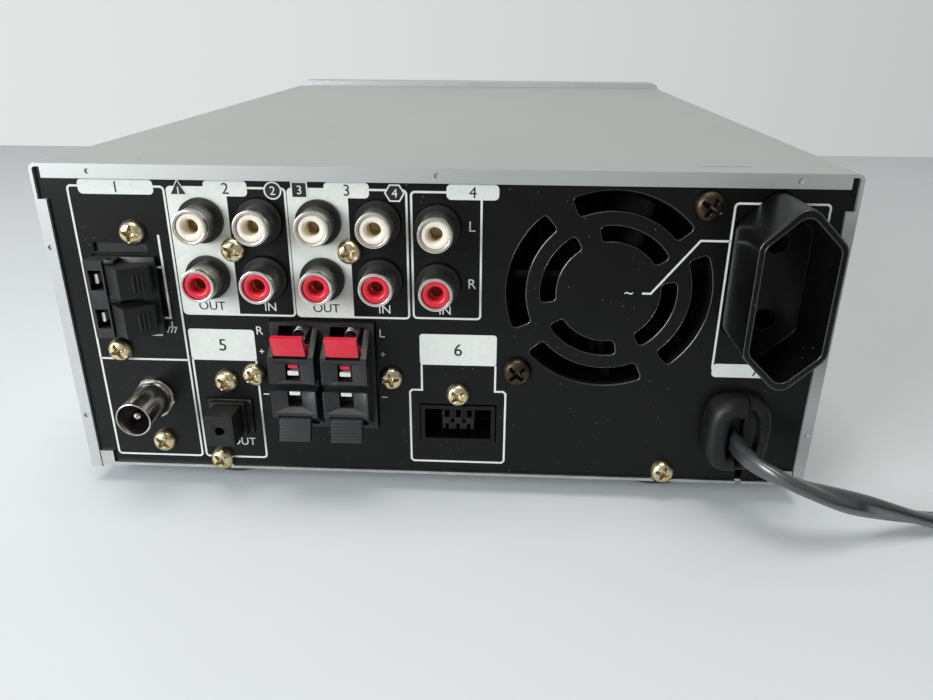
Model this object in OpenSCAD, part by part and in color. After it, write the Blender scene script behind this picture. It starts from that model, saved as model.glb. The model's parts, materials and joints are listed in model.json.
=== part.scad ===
// CD receiver: a sheet-steel case with a moulded front, a disc drive and a full rear panel.
// Front faces -Y, rear panel faces +Y, feet stand on z = 0. Millimetres.

/* [Case] */
// Width over the sides of the cover
body_w = 190; // [188:1:240]
// Height from the chassis underside to the top of the cover
body_h = 80.6; // [80:0.2:110]
// Depth of the cover, from the front moulding to the rear flange
body_d = 251.3; // [240:0.1:330]
// Thickness of the steel sheet
sheet_t = 0.8; // [0.6:0.02:1.2]
// How far the sides of the cover hang below the chassis
cover_drop = 0.9; // [0.2:0.1:2]
// Outer bend radius along the top edges of the cover
cover_r = 1.6; // [1.3:0.1:3]
// Height of the flange at the rear top edge of the cover
top_flange = 3.4; // [2:0.1:5]
// Width of the flanges at the rear side edges of the cover
side_flange = 2.8; // [2:0.1:4]
// Diameter of a foot
foot_d = 30; // [20:1:40]
// Height of a foot
foot_h = 6; // [4:0.5:12]

/* [Front] */
// Depth of the front moulding
front_t = 12; // [10:0.5:16]
// Wall of the front moulding
front_wall = 2.5; // [2:0.1:3]
// How far the front moulding stands above the cover
front_rise = 2.5; // [0:0.1:5]
// Corner radius of the front moulding
front_r = 4; // [2:0.5:8]
// Width of the display window
window_w = 92; // [70:1:96]
// Height of the display window
window_h = 22; // [16:0.5:24]
// Diameter of the volume knob
knob_d = 34; // [20:1:42]
// How far the volume knob stands out of the front
knob_len = 14.4; // [10:0.1:24]
// Width of a function button
button_w = 18; // [10:0.5:20]
// Height of a function button
button_h = 6; // [4:0.5:8]
// Diameter of the power button
power_d = 11; // [8:0.5:14]
// Travel of a button
button_travel = 1.2; // [0.6:0.1:2]
// Bore of the headphone socket
phones_d = 3.6; // [3.5:0.05:6.5]

/* [Disc drive] */
// Diameter of the disc recess in the tray
disc_d = 120.6; // [100:0.1:146]
// Tray rim outside the disc recess
tray_rim = 6.1; // [4:0.1:10]
// Thickness of the tray
tray_t = 6; // [5:0.1:8]
// How far the tray runs out
tray_travel = 135; // [100:1:150]
// Height of the tray lid
lid_h = 16; // [14:0.5:17]
// Tooth module of the tray rack and its pinion
tray_module = 1; // [0.8:0.05:1.2]
// Teeth on the tray pinion
tray_teeth = 18; // [16:2:20]
// Tooth module of the sled rack and its gear
sled_module = 0.6; // [0.5:0.05:0.75]
// Teeth on the sled gear
sled_teeth = 20; // [16:2:22]
// Travel of the pickup sled
sled_travel = 34; // [20:1:38]
// Diameter of a sled rail
rail_d = 3; // [2:0.1:4]

/* [Line jacks] */
// Distance between neighbouring jacks, both ways
jack_pitch = 14; // [12.5:0.1:14]
// Outer diameter of a jack shell
jack_d = 8.3; // [7:0.05:9]
// How far a jack shell stands out of the rear panel
jack_len = 8; // [5:0.1:12]
// Diameter of the round boss at the foot of a jack
jack_boss_d = 10.8; // [10:0.1:12]
// Hole for the centre pin of a plug
jack_hole_d = 3.4; // [3:0.1:4]

/* [Terminals] */
// Width of the speaker terminal at the panel
spk_w = 26; // [24:0.5:30]
// Height of the speaker terminal at the panel
spk_h = 29; // [29:0.5:34]
// How far the speaker terminal stands out of the panel
spk_out = 8.5; // [7.5:0.1:10]
// Width of the antenna terminal
am_w = 15.5; // [14:0.1:17]
// Height of the antenna terminal
am_h = 19.6; // [19:0.1:21]
// Outer diameter of the coaxial connector
coax_d = 8.8; // [8:0.1:9.5]
// How far the coaxial connector stands out of the panel
coax_len = 13; // [10:0.1:16]
// Width of the system socket
socket_w = 19.2; // [16:0.1:21]
// Height of the system socket
socket_h = 10.7; // [9:0.1:12]

/* [Mains] */
// Width of the mains outlet
outlet_w = 18.3; // [17:0.1:19]
// Height of the mains outlet over its points
outlet_h = 40.8; // [39:0.1:44]
// Straight side of the mains outlet
outlet_side = 22.5; // [20:0.1:24]
// How far the mains outlet stands out of the rear flange
outlet_len = 17.3; // [12:0.1:24]
// Wall of the mains outlet
outlet_wall = 1.4; // [1:0.1:2]
// Distance between the pins of a flat two-pin plug
pin_pitch = 18.6; // [17:0.1:19]
// Diameter of a plug pin
pin_d = 4; // [3.8:0.05:4.2]
// Width of the cord bushing
bush_w = 16.5; // [16:0.5:18]
// Height of the cord bushing
bush_h = 20; // [20:0.5:25]
// How far the cord bushing stands out of the panel
bush_out = 6.5; // [6:0.1:10]
// Width of the flat two-core cord
cord_w = 5.6; // [5:0.1:5.8]
// Thickness of the flat two-core cord
cord_t = 3.6; // [3:0.1:3.8]

/* [Fan] */
// Side of the square fan frame
fan_size = 50; // [46:0.5:51]
// Depth of the fan frame
fan_t = 15; // [10:0.5:20]
// Distance between the fan screws along each side
fan_screw_pitch = 42.4; // [40:0.1:43]

/* [Fits] */
// Clearance between pieces that only lie beside each other
gap = 0.3; // [0.2:0.05:0.4]
// Radial clearance of a shaft that turns or slides in a bore
run_gap = 0.05; // [0.02:0.01:0.1]
// Clearance between the teeth of meshed gears, as a share of the module
backlash = 0.14; // [0.1:0.02:0.2]

/* [Hidden] */
$fn = 48;

// Planes along Y: the object is centred between the knob's tip and the outlet's mouth
total_d = knob_len + front_t + body_d + outlet_len;
rear_y = total_d / 2 - outlet_len;
panel_y = rear_y - sheet_t;
inside_y = panel_y - sheet_t;
cover_y = rear_y - body_d;
face_y = cover_y - front_t;

// Inside faces of the cover
cover_in_x = body_w / 2 - sheet_t;
fold_gap = 0.2;
inner_x = cover_in_x - fold_gap;
flange_x = body_w / 2 - side_flange;

// Level of a height that is measured from the chassis underside
function lvl(h) = foot_h + h;

// Rear panel, seen from behind with +x on the left: columns, rows and centres
jack_x0 = 56;
jack_row = 53.7;
function jack_x(i) = jack_x0 - i * jack_pitch;
// The last column sits a little lower than the rest
aux_drop = 0.85;
function jack_h(j, i = 0) = jack_row + j * jack_pitch - (i == 4 ? aux_drop : 0);
am_x = body_w / 2 - 18.7;
am_mid = 48.8;
coax_x = body_w / 2 - 20.5;
coax_mid = 20.5;
opt_x = 54.8;
opt_mid = 15.8;
opt_w = 11.6;
opt_h = 9.6;
spk_x = 28.9;
spk_mid = 28.3;
socket_x = -4.8;
socket_mid = 15.1;
fan_x = -40.8;
fan_mid = 51.7;
outlet_x = -(body_w / 2 - 17.5);
outlet_mid = 56.1;
bush_x = -(body_w / 2 - 19.6);
bush_mid = 16.1;

// Screws in the rear panel: plan position x and height
screw_r = 1.3;
screw_head_d = 6.2;
foot_screw_x = 58.5;
foot_screw_h = 2.9;
spk_screw_mid = 29.7;
spk_screw_half = 17.6;
am_screws = [[am_x - 3.2, 64.4], [am_x + 4.9, 34]];
coax_screw = [coax_x - 0.9, 7.9];
jack_screws = [for (i = [0.5, 2.5]) [jack_x(i), jack_h(0.5)]];
opt_screw = [opt_x, 25.9];
spk_screws = [for (s = [-1, 1]) [spk_screw_mid + s * spk_screw_half, spk_mid - 0.4]];
socket_screw = [socket_x, socket_mid + 8.6];
foot_screws = [for (s = [-1, 1]) [s * foot_screw_x, foot_screw_h]];
rear_screw_list = concat(am_screws, [coax_screw], jack_screws, [opt_screw], spk_screws,
    [socket_screw], foot_screws);
fan_screw_list = [for (s = [-1, 1]) [fan_x - s * fan_screw_pitch / 2, fan_mid + s * fan_screw_pitch / 2]];
fan_screw_r = 1.9;

// Basic shapes

// A box between two opposite corners
module block(low, high) {
    translate(low) cube(high - low);
}

// Children on both sides of the middle plane
module both_sides() {
    children();
    mirror([1, 0, 0]) children();
}

// A plane figure in x and z, drawn out from y0 to y1
module along_y(y0, y1) {
    translate([0, y1, 0]) rotate([90, 0, 0]) linear_extrude(y1 - y0) children();
}

// A round rod along Y, and one along Z
module rod_y(x, z, r, y0, y1) {
    translate([x, y0, z]) rotate([-90, 0, 0]) cylinder(r = r, h = y1 - y0);
}
module rod_z(x, y, r, z0, z1) {
    translate([x, y, z0]) cylinder(r = r, h = z1 - z0);
}

// A rectangle with round corners, centred
module rounded_rect(w, h, r) {
    square([w - 2 * r, h], center = true);
    square([w, h - 2 * r], center = true);
    for (sx = [-1, 1], sy = [-1, 1]) translate([sx * (w / 2 - r), sy * (h / 2 - r)]) circle(r);
}

// An upright sheet outline with its two upper corners rounded
module arch(half_w, z0, z1, r) {
    translate([-half_w, z0]) square([2 * half_w, z1 - z0 - r]);
    translate([-half_w + r, z0]) square([2 * half_w - 2 * r, z1 - z0]);
    for (s = [-1, 1]) translate([s * (half_w - r), z1 - r]) circle(r);
}

// A hexagon with two straight sides and round points, for flat two-pin plugs
module plug_hexagon(w, h, side, r) {
    hull() for (sx = [-1, 1], sy = [-1, 1]) {
        translate([sx * (w / 2 - r), sy * side / 2]) circle(r, $fn = 32);
        translate([0, sy * (h / 2 - r)]) circle(r, $fn = 32);
    }
}

// A slot along part of a ring, with round corners of radius c
module ring_slot(r0, r1, a0, span, c) {
    inset = asin(c / (r0 + c));
    ring_part(r0, r1, a0 + inset, a0 + span - inset);
    ring_part(r0 + c, r1 - c, a0, a0 + span);
    for (r = [r0 + c, r1 - c]) {
        for (a = [a0 + asin(c / r), a0 + span - asin(c / r)]) {
            translate([r * cos(a), r * sin(a)]) circle(c, $fn = 24);
        }
    }
}
module ring_part(r0, r1, a0, a1) {
    far = 2 * r1;
    intersection() {
        difference() {
            circle(r1, $fn = 96);
            circle(r0, $fn = 96);
        }
        polygon(concat([[0, 0]],
            [for (k = [0:4]) far * [cos(a0 + (a1 - a0) * k / 4), sin(a0 + (a1 - a0) * k / 4)]]));
    }
}

// Swept tubes: rings of points around a path, closed with triangles

function unit(v) = v / norm(v);
// One ring: the wide axis is rolled from level by an angle, around the heading t
function ring(p, t, roll, wide, thin, sides) =
    let (level = unit(cross(t, [0, 0, 1])), upright = cross(level, t))
    let (wide_dir = level * cos(roll) + upright * sin(roll))
    let (thin_dir = upright * cos(roll) - level * sin(roll))
    [for (k = [0:sides - 1]) let (a = 90 + (k + 0.5) * 360 / sides)
        p + thin_dir * thin / 2 * cos(a) + wide_dir * wide / 2 * sin(a)];
function tube_faces(rings, sides) = concat(
    [for (j = [1:sides - 2]) [0, j, j + 1]],
    [for (i = [0:rings - 2], j = [0:sides - 1]) let (k = (j + 1) % sides)
        each [[i * sides + j, (i + 1) * sides + j, (i + 1) * sides + k],
            [i * sides + j, (i + 1) * sides + k, i * sides + k]]],
    [for (j = [1:sides - 2]) let (b = (rings - 1) * sides) [b, b + j + 1, b + j]]);
module tube(rings) {
    sides = len(rings[0]);
    polyhedron([for (r = rings) each r], tube_faces(len(rings), sides));
}
// Least distance between the points of rings that lie at least skip rings apart
function ring_gap(a, b) = min([for (p = a, q = b) norm(p - q)]);
function self_gap(rings, skip, near) = min([for (i = [0:len(rings) - 1 - skip], j = [i + skip:len(rings) - 1])
    if (norm(rings[i][0] - rings[j][0]) < near) ring_gap(rings[i], rings[j])]);

// Gear teeth

function involute(r, base) = r <= base ? 0 : sqrt(r * r / base / base - 1) * 180 / PI - acos(base / r);
// Outline of a spur gear with one tooth on the +x axis
function gear_outline(m, teeth) =
    let (pitch = m * teeth / 2, base = pitch * cos(20), tip = pitch + m, root = pitch - 1.25 * m)
    let (start = max(base, root), thick = 90 / teeth - backlash / teeth * 180 / PI / 2)
    let (radii = concat([root], [for (k = [0:4]) start + (tip - start) * k / 4]))
    let (half = [for (r = radii) thick + involute(pitch, base) - involute(r, base)])
    [for (k = [0:teeth - 1], e = [0:2 * len(radii) - 1])
        let (up = e < len(radii), i = up ? e : 2 * len(radii) - 1 - e)
        let (a = 360 * k / teeth + (up ? -half[i] : half[i]))
        radii[i] * [cos(a), sin(a)]];
// One rack tooth that points along +x from the pitch line, centred on y = 0
function rack_tooth(m) =
    let (half = PI * m / 4 - backlash * m / 4, root = 1.25 * m, slope = tan(20))
    [[-root, -half - root * slope], [m, -half + m * slope], [m, half - m * slope],
        [-root, half + root * slope]];

// Case

lip_h = 10;
tab_half = 7;
corner_tab_w = 3.5;
corner_tab_h = 4.2;
cover_screw_h = 5;
cover_screw_y = [cover_y + 28, rear_y - 30];
cover_screw_r = 1.4;
foot_x = 58.5;
foot_y = [cover_y + 21, rear_y - 21];
slit_x = bush_x - 3;
slit_w = 1.6;
board_low = 8;
board_t = 1.6;
board_x = [-12, 86];
board_y = [cover_y + 21, rear_y - 20.2];
board_post_r = 3;
board_inset = 6;

// Bottom tray of plated steel, with lips, board posts and air slots
module chassis_base() {
    vent = [3, 40];
    vent_step = 8;
    vents = 9;
    color("silver") difference() {
        union() {
            block([-inner_x, cover_y, lvl(0)], [inner_x, panel_y, lvl(sheet_t)]);
            block([-flange_x + gap, inside_y, lvl(0)], [flange_x - gap, rear_y, lvl(sheet_t)]);
            both_sides() {
                block([inner_x - sheet_t, cover_y, lvl(0)], [inner_x, inside_y, lvl(lip_h)]);
                block([flange_x - gap - corner_tab_w, panel_y, lvl(0)],
                    [flange_x - gap, rear_y, lvl(corner_tab_h)]);
                block([foot_screw_x - tab_half, inside_y - sheet_t, lvl(0)],
                    [foot_screw_x + tab_half, inside_y, lvl(foot_screw_h + 4)]);
            }
            for (x = board_x, y = board_y) {
                post_x = x == board_x[0] ? x + board_inset : x - board_inset;
                post_y = y == board_y[0] ? y + board_inset : y - board_inset;
                rod_z(post_x, post_y, board_post_r, lvl(0), lvl(board_low));
            }
        }
        for (k = [0:vents - 1]) {
            x = board_x[0] + 14 + k * vent_step;
            block([x, -vent[1] / 2, lvl(-1)], [x + vent[0], vent[1] / 2, lvl(sheet_t + 1)]);
        }
        for (p = foot_screws) {
            screw_bore(p);
            rod_y(p[0], lvl(p[1]), screw_head_d / 2 + gap, panel_y, rear_y + 1);
        }
        both_sides() for (y = cover_screw_y) {
            translate([inner_x - 2 * sheet_t, y, lvl(cover_screw_h)]) rotate([0, 90, 0])
                cylinder(r = cover_screw_r + run_gap, h = 4 * sheet_t);
        }
        block([slit_x - slit_w / 2, panel_y - sheet_t / 2, lvl(-1)],
            [slit_x + slit_w / 2, rear_y + 1, lvl(sheet_t + 1)]);
    }
}

// Folded steel cover: top and sides, with narrow flanges round the rear panel
module top_cover() {
    corner_gap = 2.6;
    side_top = body_h - 8.4;
    dimple_r = 0.65;
    dimple_deep = 0.4;
    lance = [12, 0.6];
    lance_x = 66.4;
    lance_in = 8;
    top = lvl(body_h);
    low = lvl(-cover_drop);
    color("lightsteelblue") difference() {
        union() {
            along_y(cover_y, rear_y) difference() {
                arch(body_w / 2, low, top, cover_r);
                arch(cover_in_x, low - 1, top - sheet_t, cover_r - sheet_t);
            }
            along_y(panel_y, rear_y) {
                translate([-body_w / 2 + corner_gap, top - top_flange])
                    square([body_w - 2 * corner_gap, top_flange - sheet_t / 2]);
                both_sides() translate([flange_x, low])
                    square([side_flange - sheet_t / 2, lvl(side_top) - low]);
            }
        }
        for (x = [-81.1, 0, 81.1]) rod_y(x, top - top_flange / 2, dimple_r, rear_y - dimple_deep, rear_y + 1);
        both_sides() for (h = [14.9, 60.5]) {
            rod_y(body_w / 2 - side_flange / 2, lvl(h), dimple_r, rear_y - dimple_deep, rear_y + 1);
        }
        both_sides() block([lance_x - lance[0] / 2, rear_y - lance_in - lance[1] / 2, top - 2 * sheet_t],
            [lance_x + lance[0] / 2, rear_y - lance_in + lance[1] / 2, top + 1]);
        both_sides() for (y = cover_screw_y) {
            translate([inner_x, y, lvl(cover_screw_h)]) rotate([0, 90, 0])
                cylinder(r = cover_screw_r + gap, h = 4 * sheet_t);
        }
    }
}

// Outlines of the openings in the rear panel
fan_slots = [[19.6, 24.6, 66, 74], [12.4, 16.4, 79, 69]];
module rear_cutouts() {
    slot_corner = 1.2;
    am_slot = [13.2, 2.2];
    am_slot_h = 59.6 + gap;
    for (i = [0:4], j = [0, 1]) translate([jack_x(i), lvl(jack_h(j, i))]) circle(jack_boss_d / 2 + fold_gap);
    translate([am_x, lvl(am_mid)]) square([am_w + 2 * gap, am_h + 2 * gap], center = true);
    translate([am_x + 0.5, lvl(am_slot_h + am_slot[1] / 2 - gap)]) square(am_slot, center = true);
    translate([coax_x, lvl(coax_mid)]) circle(coax_d / 2 + gap);
    translate([opt_x, lvl(opt_mid)]) square([opt_w + 2 * gap, opt_h + 2 * gap], center = true);
    translate([spk_x, lvl(spk_mid)]) square([spk_w + 2 * gap, spk_h + 2 * gap], center = true);
    translate([socket_x, lvl(socket_mid)]) square([socket_w + 2 * gap, socket_h + 2 * gap], center = true);
    translate([fan_x, lvl(fan_mid)]) for (s = fan_slots, k = [0:3]) {
        ring_slot(s[0], s[1], s[2] + 90 * k, s[3], slot_corner);
    }
    translate([outlet_x, lvl(outlet_mid)])
        plug_hexagon(outlet_w + 2 * gap, outlet_h + 2 * gap, outlet_side, outlet_r + gap);
    translate([bush_x, lvl(bush_mid)])
        rounded_rect(bush_w - bush_step + 2 * gap, bush_h - bush_step + 2 * gap, bush_r);
    translate([slit_x - slit_w / 2, lvl(0)]) square([slit_w, bush_mid - bush_h / 2 + bush_r]);
    for (p = rear_screw_list) translate([p[0], lvl(p[1])]) circle(screw_r + gap);
    for (p = fan_screw_list) translate([p[0], lvl(p[1])]) circle(fan_screw_r + gap);
}

// Painted rear panel, flat steel
module rear_panel() {
    color([0.1, 0.1, 0.11]) along_y(inside_y, panel_y) difference() {
        arch(inner_x, lvl(sheet_t), lvl(body_h - sheet_t - fold_gap), cover_r - sheet_t);
        rear_cutouts();
    }
}

// Rubber-tipped feet with a screw recess
module feet() {
    taper = 2;
    recess_r = 4;
    recess_deep = 2.5;
    color([0.12, 0.12, 0.12]) for (s = [-1, 1], y = foot_y) translate([s * foot_x, y, 0]) rotate_extrude() {
        polygon([[recess_r, 0], [foot_d / 2 - taper, 0], [foot_d / 2 - taper / 2, 1], [foot_d / 2, foot_h],
            [0, foot_h], [0, recess_deep], [recess_r, recess_deep]]);
    }
}

// Fasteners

// Cross-recessed domed screw along +Y with its head seat at y = 0
module domed_screw(head_d, head_h, shank_r, shank_len) {
    wing = [0.22 * head_d, 0.13 * head_d];
    cross_deep = 0.6 * head_h;
    r = head_d / 2;
    profile = [[0, -shank_len], [shank_r, -shank_len], [shank_r, 0], [r, 0], [r, 0.4 * head_h],
        [0.85 * r, 0.75 * head_h], [0.5 * r, head_h], [0, head_h]];
    rotate([-90, 0, 0]) difference() {
        rotate_extrude() polygon(profile);
        for (a = [0, 90]) rotate([0, 0, a + 20]) translate([-wing[0], -wing[1] / 2, head_h - cross_deep])
            cube([2 * wing[0], wing[1], head_h]);
    }
}
rear_screw_len = 5;
// Bore behind the panel for the shank of a rear screw
module screw_bore(p) {
    rod_y(p[0], lvl(p[1]), screw_r + run_gap, panel_y - rear_screw_len - gap, panel_y);
}
module rear_screws() {
    head_h = 2.3;
    color("goldenrod") for (p = rear_screw_list) {
        translate([p[0], panel_y, lvl(p[1])]) domed_screw(screw_head_d, head_h, screw_r, rear_screw_len);
    }
}
// Two long fan screws behind, four short cover screws at the sides
module dark_screws() {
    fan_head = [7.5, 2.4];
    fan_screw_len = 11;
    cover_head = [6, 2];
    cover_screw_len = 3;
    color([0.25, 0.18, 0.13]) {
        for (p = fan_screw_list) translate([p[0], panel_y, lvl(p[1])])
            domed_screw(fan_head[0], fan_head[1], fan_screw_r, fan_screw_len);
        both_sides() for (y = cover_screw_y) translate([body_w / 2, y, lvl(cover_screw_h)])
            rotate([0, 0, -90]) domed_screw(cover_head[0], cover_head[1], cover_screw_r, cover_screw_len);
    }
}

// Front moulding and controls

front_low = -1;
front_top = body_h + front_rise;
window_x = -20;
window_mid = 35;
window_t = 1.5;
window_lip = 2;
knob_x = 62;
knob_mid = 28;
shaft_r = 3;
bush_nose_r = 4.5;
button_row = 12;
button_x = [-57, -34, -11, 12];
power_x = -81;
power_mid = 35;
phones_x = -81;
phones_mid = 12;
phones_nose_r = 4;
button_flange = 1;
button_proud = 1.5;
front_board_y = cover_y + 3;
boss_r = 2.5;
boss_at = [[-89, 23], [-70, 22], [40, 8], [86, 10], [86, 34]];
tray_low = 58;
lid_low = tray_low + tray_t / 2 - lid_h / 2;
tray_half = disc_d / 2 + tray_rim;
lid_half = tray_half + 4.6;
lid_t = 4;

// Hollow front moulding, open behind, with the openings for tray, display and controls
module front_panel() {
    slot_gap = gap + 0.1;
    color("gainsboro") {
        difference() {
            along_y(face_y, cover_y) translate([0, lvl((front_low + front_top) / 2)])
                rounded_rect(body_w, front_top - front_low, front_r);
            along_y(face_y + front_wall, cover_y + 1) translate([0, lvl((front_low + front_top) / 2)])
                rounded_rect(body_w - 2 * front_wall, front_top - front_low - 2 * front_wall,
                    front_r - front_wall / 2);
            along_y(face_y - 1, face_y + front_wall + 1) {
                translate([-lid_half - slot_gap, lvl(lid_low - slot_gap)])
                    square([2 * (lid_half + slot_gap), lid_h + 2 * slot_gap]);
                translate([window_x, lvl(window_mid)])
                    square([window_w - 2 * window_lip, window_h - 2 * window_lip], center = true);
                translate([knob_x, lvl(knob_mid)]) circle(bush_nose_r + gap);
                for (x = button_x) translate([x, lvl(button_row)])
                    square([button_w + 2 * fold_gap, button_h + 2 * fold_gap], center = true);
                translate([power_x, lvl(power_mid)]) circle(power_d / 2 + fold_gap);
                translate([phones_x, lvl(phones_mid)]) circle(phones_nose_r + fold_gap);
            }
            along_y(face_y - 1, face_y + window_t) translate([window_x, lvl(window_mid)])
                square([window_w + 2 * fold_gap, window_h + 2 * fold_gap], center = true);
        }
        for (p = boss_at) rod_y(p[0], lvl(p[1]), boss_r, face_y + front_wall / 2, front_board_y);
    }
}

// Smoked window that lies in the pocket of the front
module display_window() {
    color([0.12, 0.14, 0.16]) along_y(face_y, face_y + window_t) translate([window_x, lvl(window_mid)])
        square([window_w, window_h], center = true);
}

// Control board behind the front: display tube, key switches and the volume control
switch_y = front_board_y - 5;
stem_end = switch_y - button_travel - gap;
pot_y = front_board_y - 6;
module front_board() {
    board = [181, 32];
    board_mid = 20;
    tube_t = 8;
    switch_half = 3;
    pot_r = 9;
    nose_y = face_y + gap;
    color("seagreen") {
        along_y(front_board_y, front_board_y + board_t) translate([0, lvl(board_mid)])
            square(board, center = true);
        along_y(front_board_y - tube_t, front_board_y) translate([window_x, lvl(window_mid - 1)])
            square([window_w - 4 * window_lip, window_h - 3 * window_lip], center = true);
        for (p = concat([for (x = button_x) [x, button_row]], [[power_x, power_mid - 1]])) {
            along_y(switch_y, front_board_y) translate([p[0], lvl(p[1])])
                square(2 * switch_half, center = true);
        }
        difference() {
            union() {
                rod_y(knob_x, lvl(knob_mid), pot_r, pot_y, front_board_y);
                rod_y(knob_x, lvl(knob_mid), bush_nose_r, nose_y, front_board_y);
            }
            rod_y(knob_x, lvl(knob_mid), shaft_r + run_gap, nose_y - 1, front_board_y - 1);
        }
    }
}

// Volume knob with a fluted rim, and the shaft that it is pressed on
module volume_knob() {
    knob_y = face_y - gap;
    tip_y = face_y - knob_len;
    edge = 1.5;
    flutes = 30;
    flute_r = 0.7;
    flute_deep = 0.35;
    shaft_in = knob_len - 4;
    translate([knob_x, 0, lvl(knob_mid)]) {
        color("silver") difference() {
            translate([0, knob_y, 0]) rotate([90, 0, 0]) rotate_extrude() polygon([[0, 0],
                [knob_d / 2 - 0.5, 0], [knob_d / 2, 0.5], [knob_d / 2, knob_y - tip_y - edge],
                [knob_d / 2 - edge, knob_y - tip_y], [0, knob_y - tip_y]]);
            for (k = [0:flutes - 1]) rotate([0, 360 * k / flutes, 0])
                rod_y(knob_d / 2 + flute_r - flute_deep, 0, flute_r, tip_y - 1, knob_y - 2 * edge, $fn = 12);
            rod_y(0, 0, shaft_r + run_gap, knob_y - shaft_in, knob_y + 1);
            block([-0.6, tip_y - 1, knob_d / 5], [0.6, tip_y + 0.5, knob_d / 2 - edge]);
        }
        color("gray") rod_y(0, 0, shaft_r, knob_y - shaft_in, front_board_y - 1 - gap);
    }
}

// A button: cap, flange behind the wall and a stem that reaches for its switch
module key_button(x, h) {
    translate([x, 0, lvl(h)]) {
        along_y(face_y - button_proud, face_y + front_wall + button_flange) children();
        along_y(face_y + front_wall, face_y + front_wall + button_flange)
            square([button_w, button_h] + 2 * [1, 1], center = true);
        along_y(face_y + front_wall, stem_end) square(3, center = true);
    }
}
module function_button(i) {
    color("darkgray") key_button(button_x[i], button_row) square([button_w, button_h], center = true);
}
module eject_button() {
    function_button(0);
}
module play_button() {
    function_button(1);
}
module stop_button() {
    function_button(2);
}
module source_button() {
    function_button(3);
}
module power_button() {
    flange_r = power_d / 2 + 1;
    color("silver") translate([power_x, 0, lvl(power_mid)]) {
        rod_y(0, 0, power_d / 2, face_y - button_proud, face_y + front_wall + button_flange);
        rod_y(0, 0, flange_r, face_y + front_wall, face_y + front_wall + button_flange);
        rod_y(0, 0, 2, face_y + front_wall, stem_end);
    }
}

// Headphone socket: a nose in the front and a body against the control board
phones_len = 14;
phones_proud = 0.6;
module headphone_jack() {
    body_half = 6;
    color([0.15, 0.15, 0.15]) difference() {
        union() {
            rod_y(phones_x, lvl(phones_mid), phones_nose_r, face_y - phones_proud, face_y + front_wall + 1);
            along_y(face_y + front_wall, front_board_y) translate([phones_x, lvl(phones_mid)])
                square(2 * body_half, center = true);
        }
        rod_y(phones_x, lvl(phones_mid), phones_d / 2, face_y - phones_proud - 1,
            face_y - phones_proud + phones_len);
    }
}

// Line jacks

block_deep = 12;
shell_wall = 0.8;
insert_back = 0.5;
shell_back = 7;
shell_neck_r = jack_d / 2 - 0.25;
insert_r = jack_d / 2 - shell_wall - run_gap;
boss_proud = 1.2;
// The three moulded blocks hold two, two and one column of jacks
module line_jack_blocks() {
    margin = 6.5;
    color([0.13, 0.13, 0.13]) for (cols = [[0, 1], [2, 3], [4, 4]]) difference() {
        union() {
            block([jack_x(cols[1]) - margin, inside_y - block_deep, lvl(jack_h(0, cols[0]) - margin)],
                [jack_x(cols[0]) + margin, inside_y, lvl(jack_h(1, cols[0]) + margin)]);
            for (i = [cols[0]:cols[1]], j = [0, 1])
                rod_y(jack_x(i), lvl(jack_h(j, i)), jack_boss_d / 2, inside_y - 1, panel_y + boss_proud);
        }
        for (i = [cols[0]:cols[1]], j = [0, 1])
            rod_y(jack_x(i), lvl(jack_h(j, i)), shell_neck_r + run_gap, inside_y - shell_back, panel_y
                + jack_len);
        for (p = jack_screws) screw_bore(p);
    }
}
// Plated shells, open in front
module line_jack_shells() {
    lip = 0.4;
    front = panel_y + jack_len;
    back = inside_y - shell_back;
    long = front - back;
    neck = panel_y + boss_proud - back;
    outline = [[jack_d / 2 - shell_wall, 0], [shell_neck_r, 0], [shell_neck_r, neck], [jack_d / 2, neck],
        [jack_d / 2, long - lip], [jack_d / 2 - lip, long], [jack_d / 2 - shell_wall, long]];
    color("silver") for (i = [0:4], j = [0, 1]) translate([jack_x(i), back, lvl(jack_h(j, i))])
        rotate([-90, 0, 0]) rotate_extrude() polygon(outline);
}
// Coloured insulators with the hole for the centre pin
module jack_inserts(row) {
    front = panel_y + jack_len - insert_back;
    for (i = [0:4]) difference() {
        rod_y(jack_x(i), lvl(jack_h(row, i)), insert_r, inside_y - shell_back, front);
        rod_y(jack_x(i), lvl(jack_h(row, i)), jack_hole_d / 2, panel_y, front + 1);
    }
}
module white_inserts() {
    color("ivory") jack_inserts(1);
}
module red_inserts() {
    color("crimson") jack_inserts(0);
}

// Antenna connections

am_lever_h = 7.6;
am_lever_mid = [am_mid - 4.9, am_mid + 4.9];
am_pivot = [am_x + 2.2, panel_y + 2.6];
am_pin_r = 0.7;
am_rib = 0.7;
am_base = 1.2;
am_hole = [3.2, 5];
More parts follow.
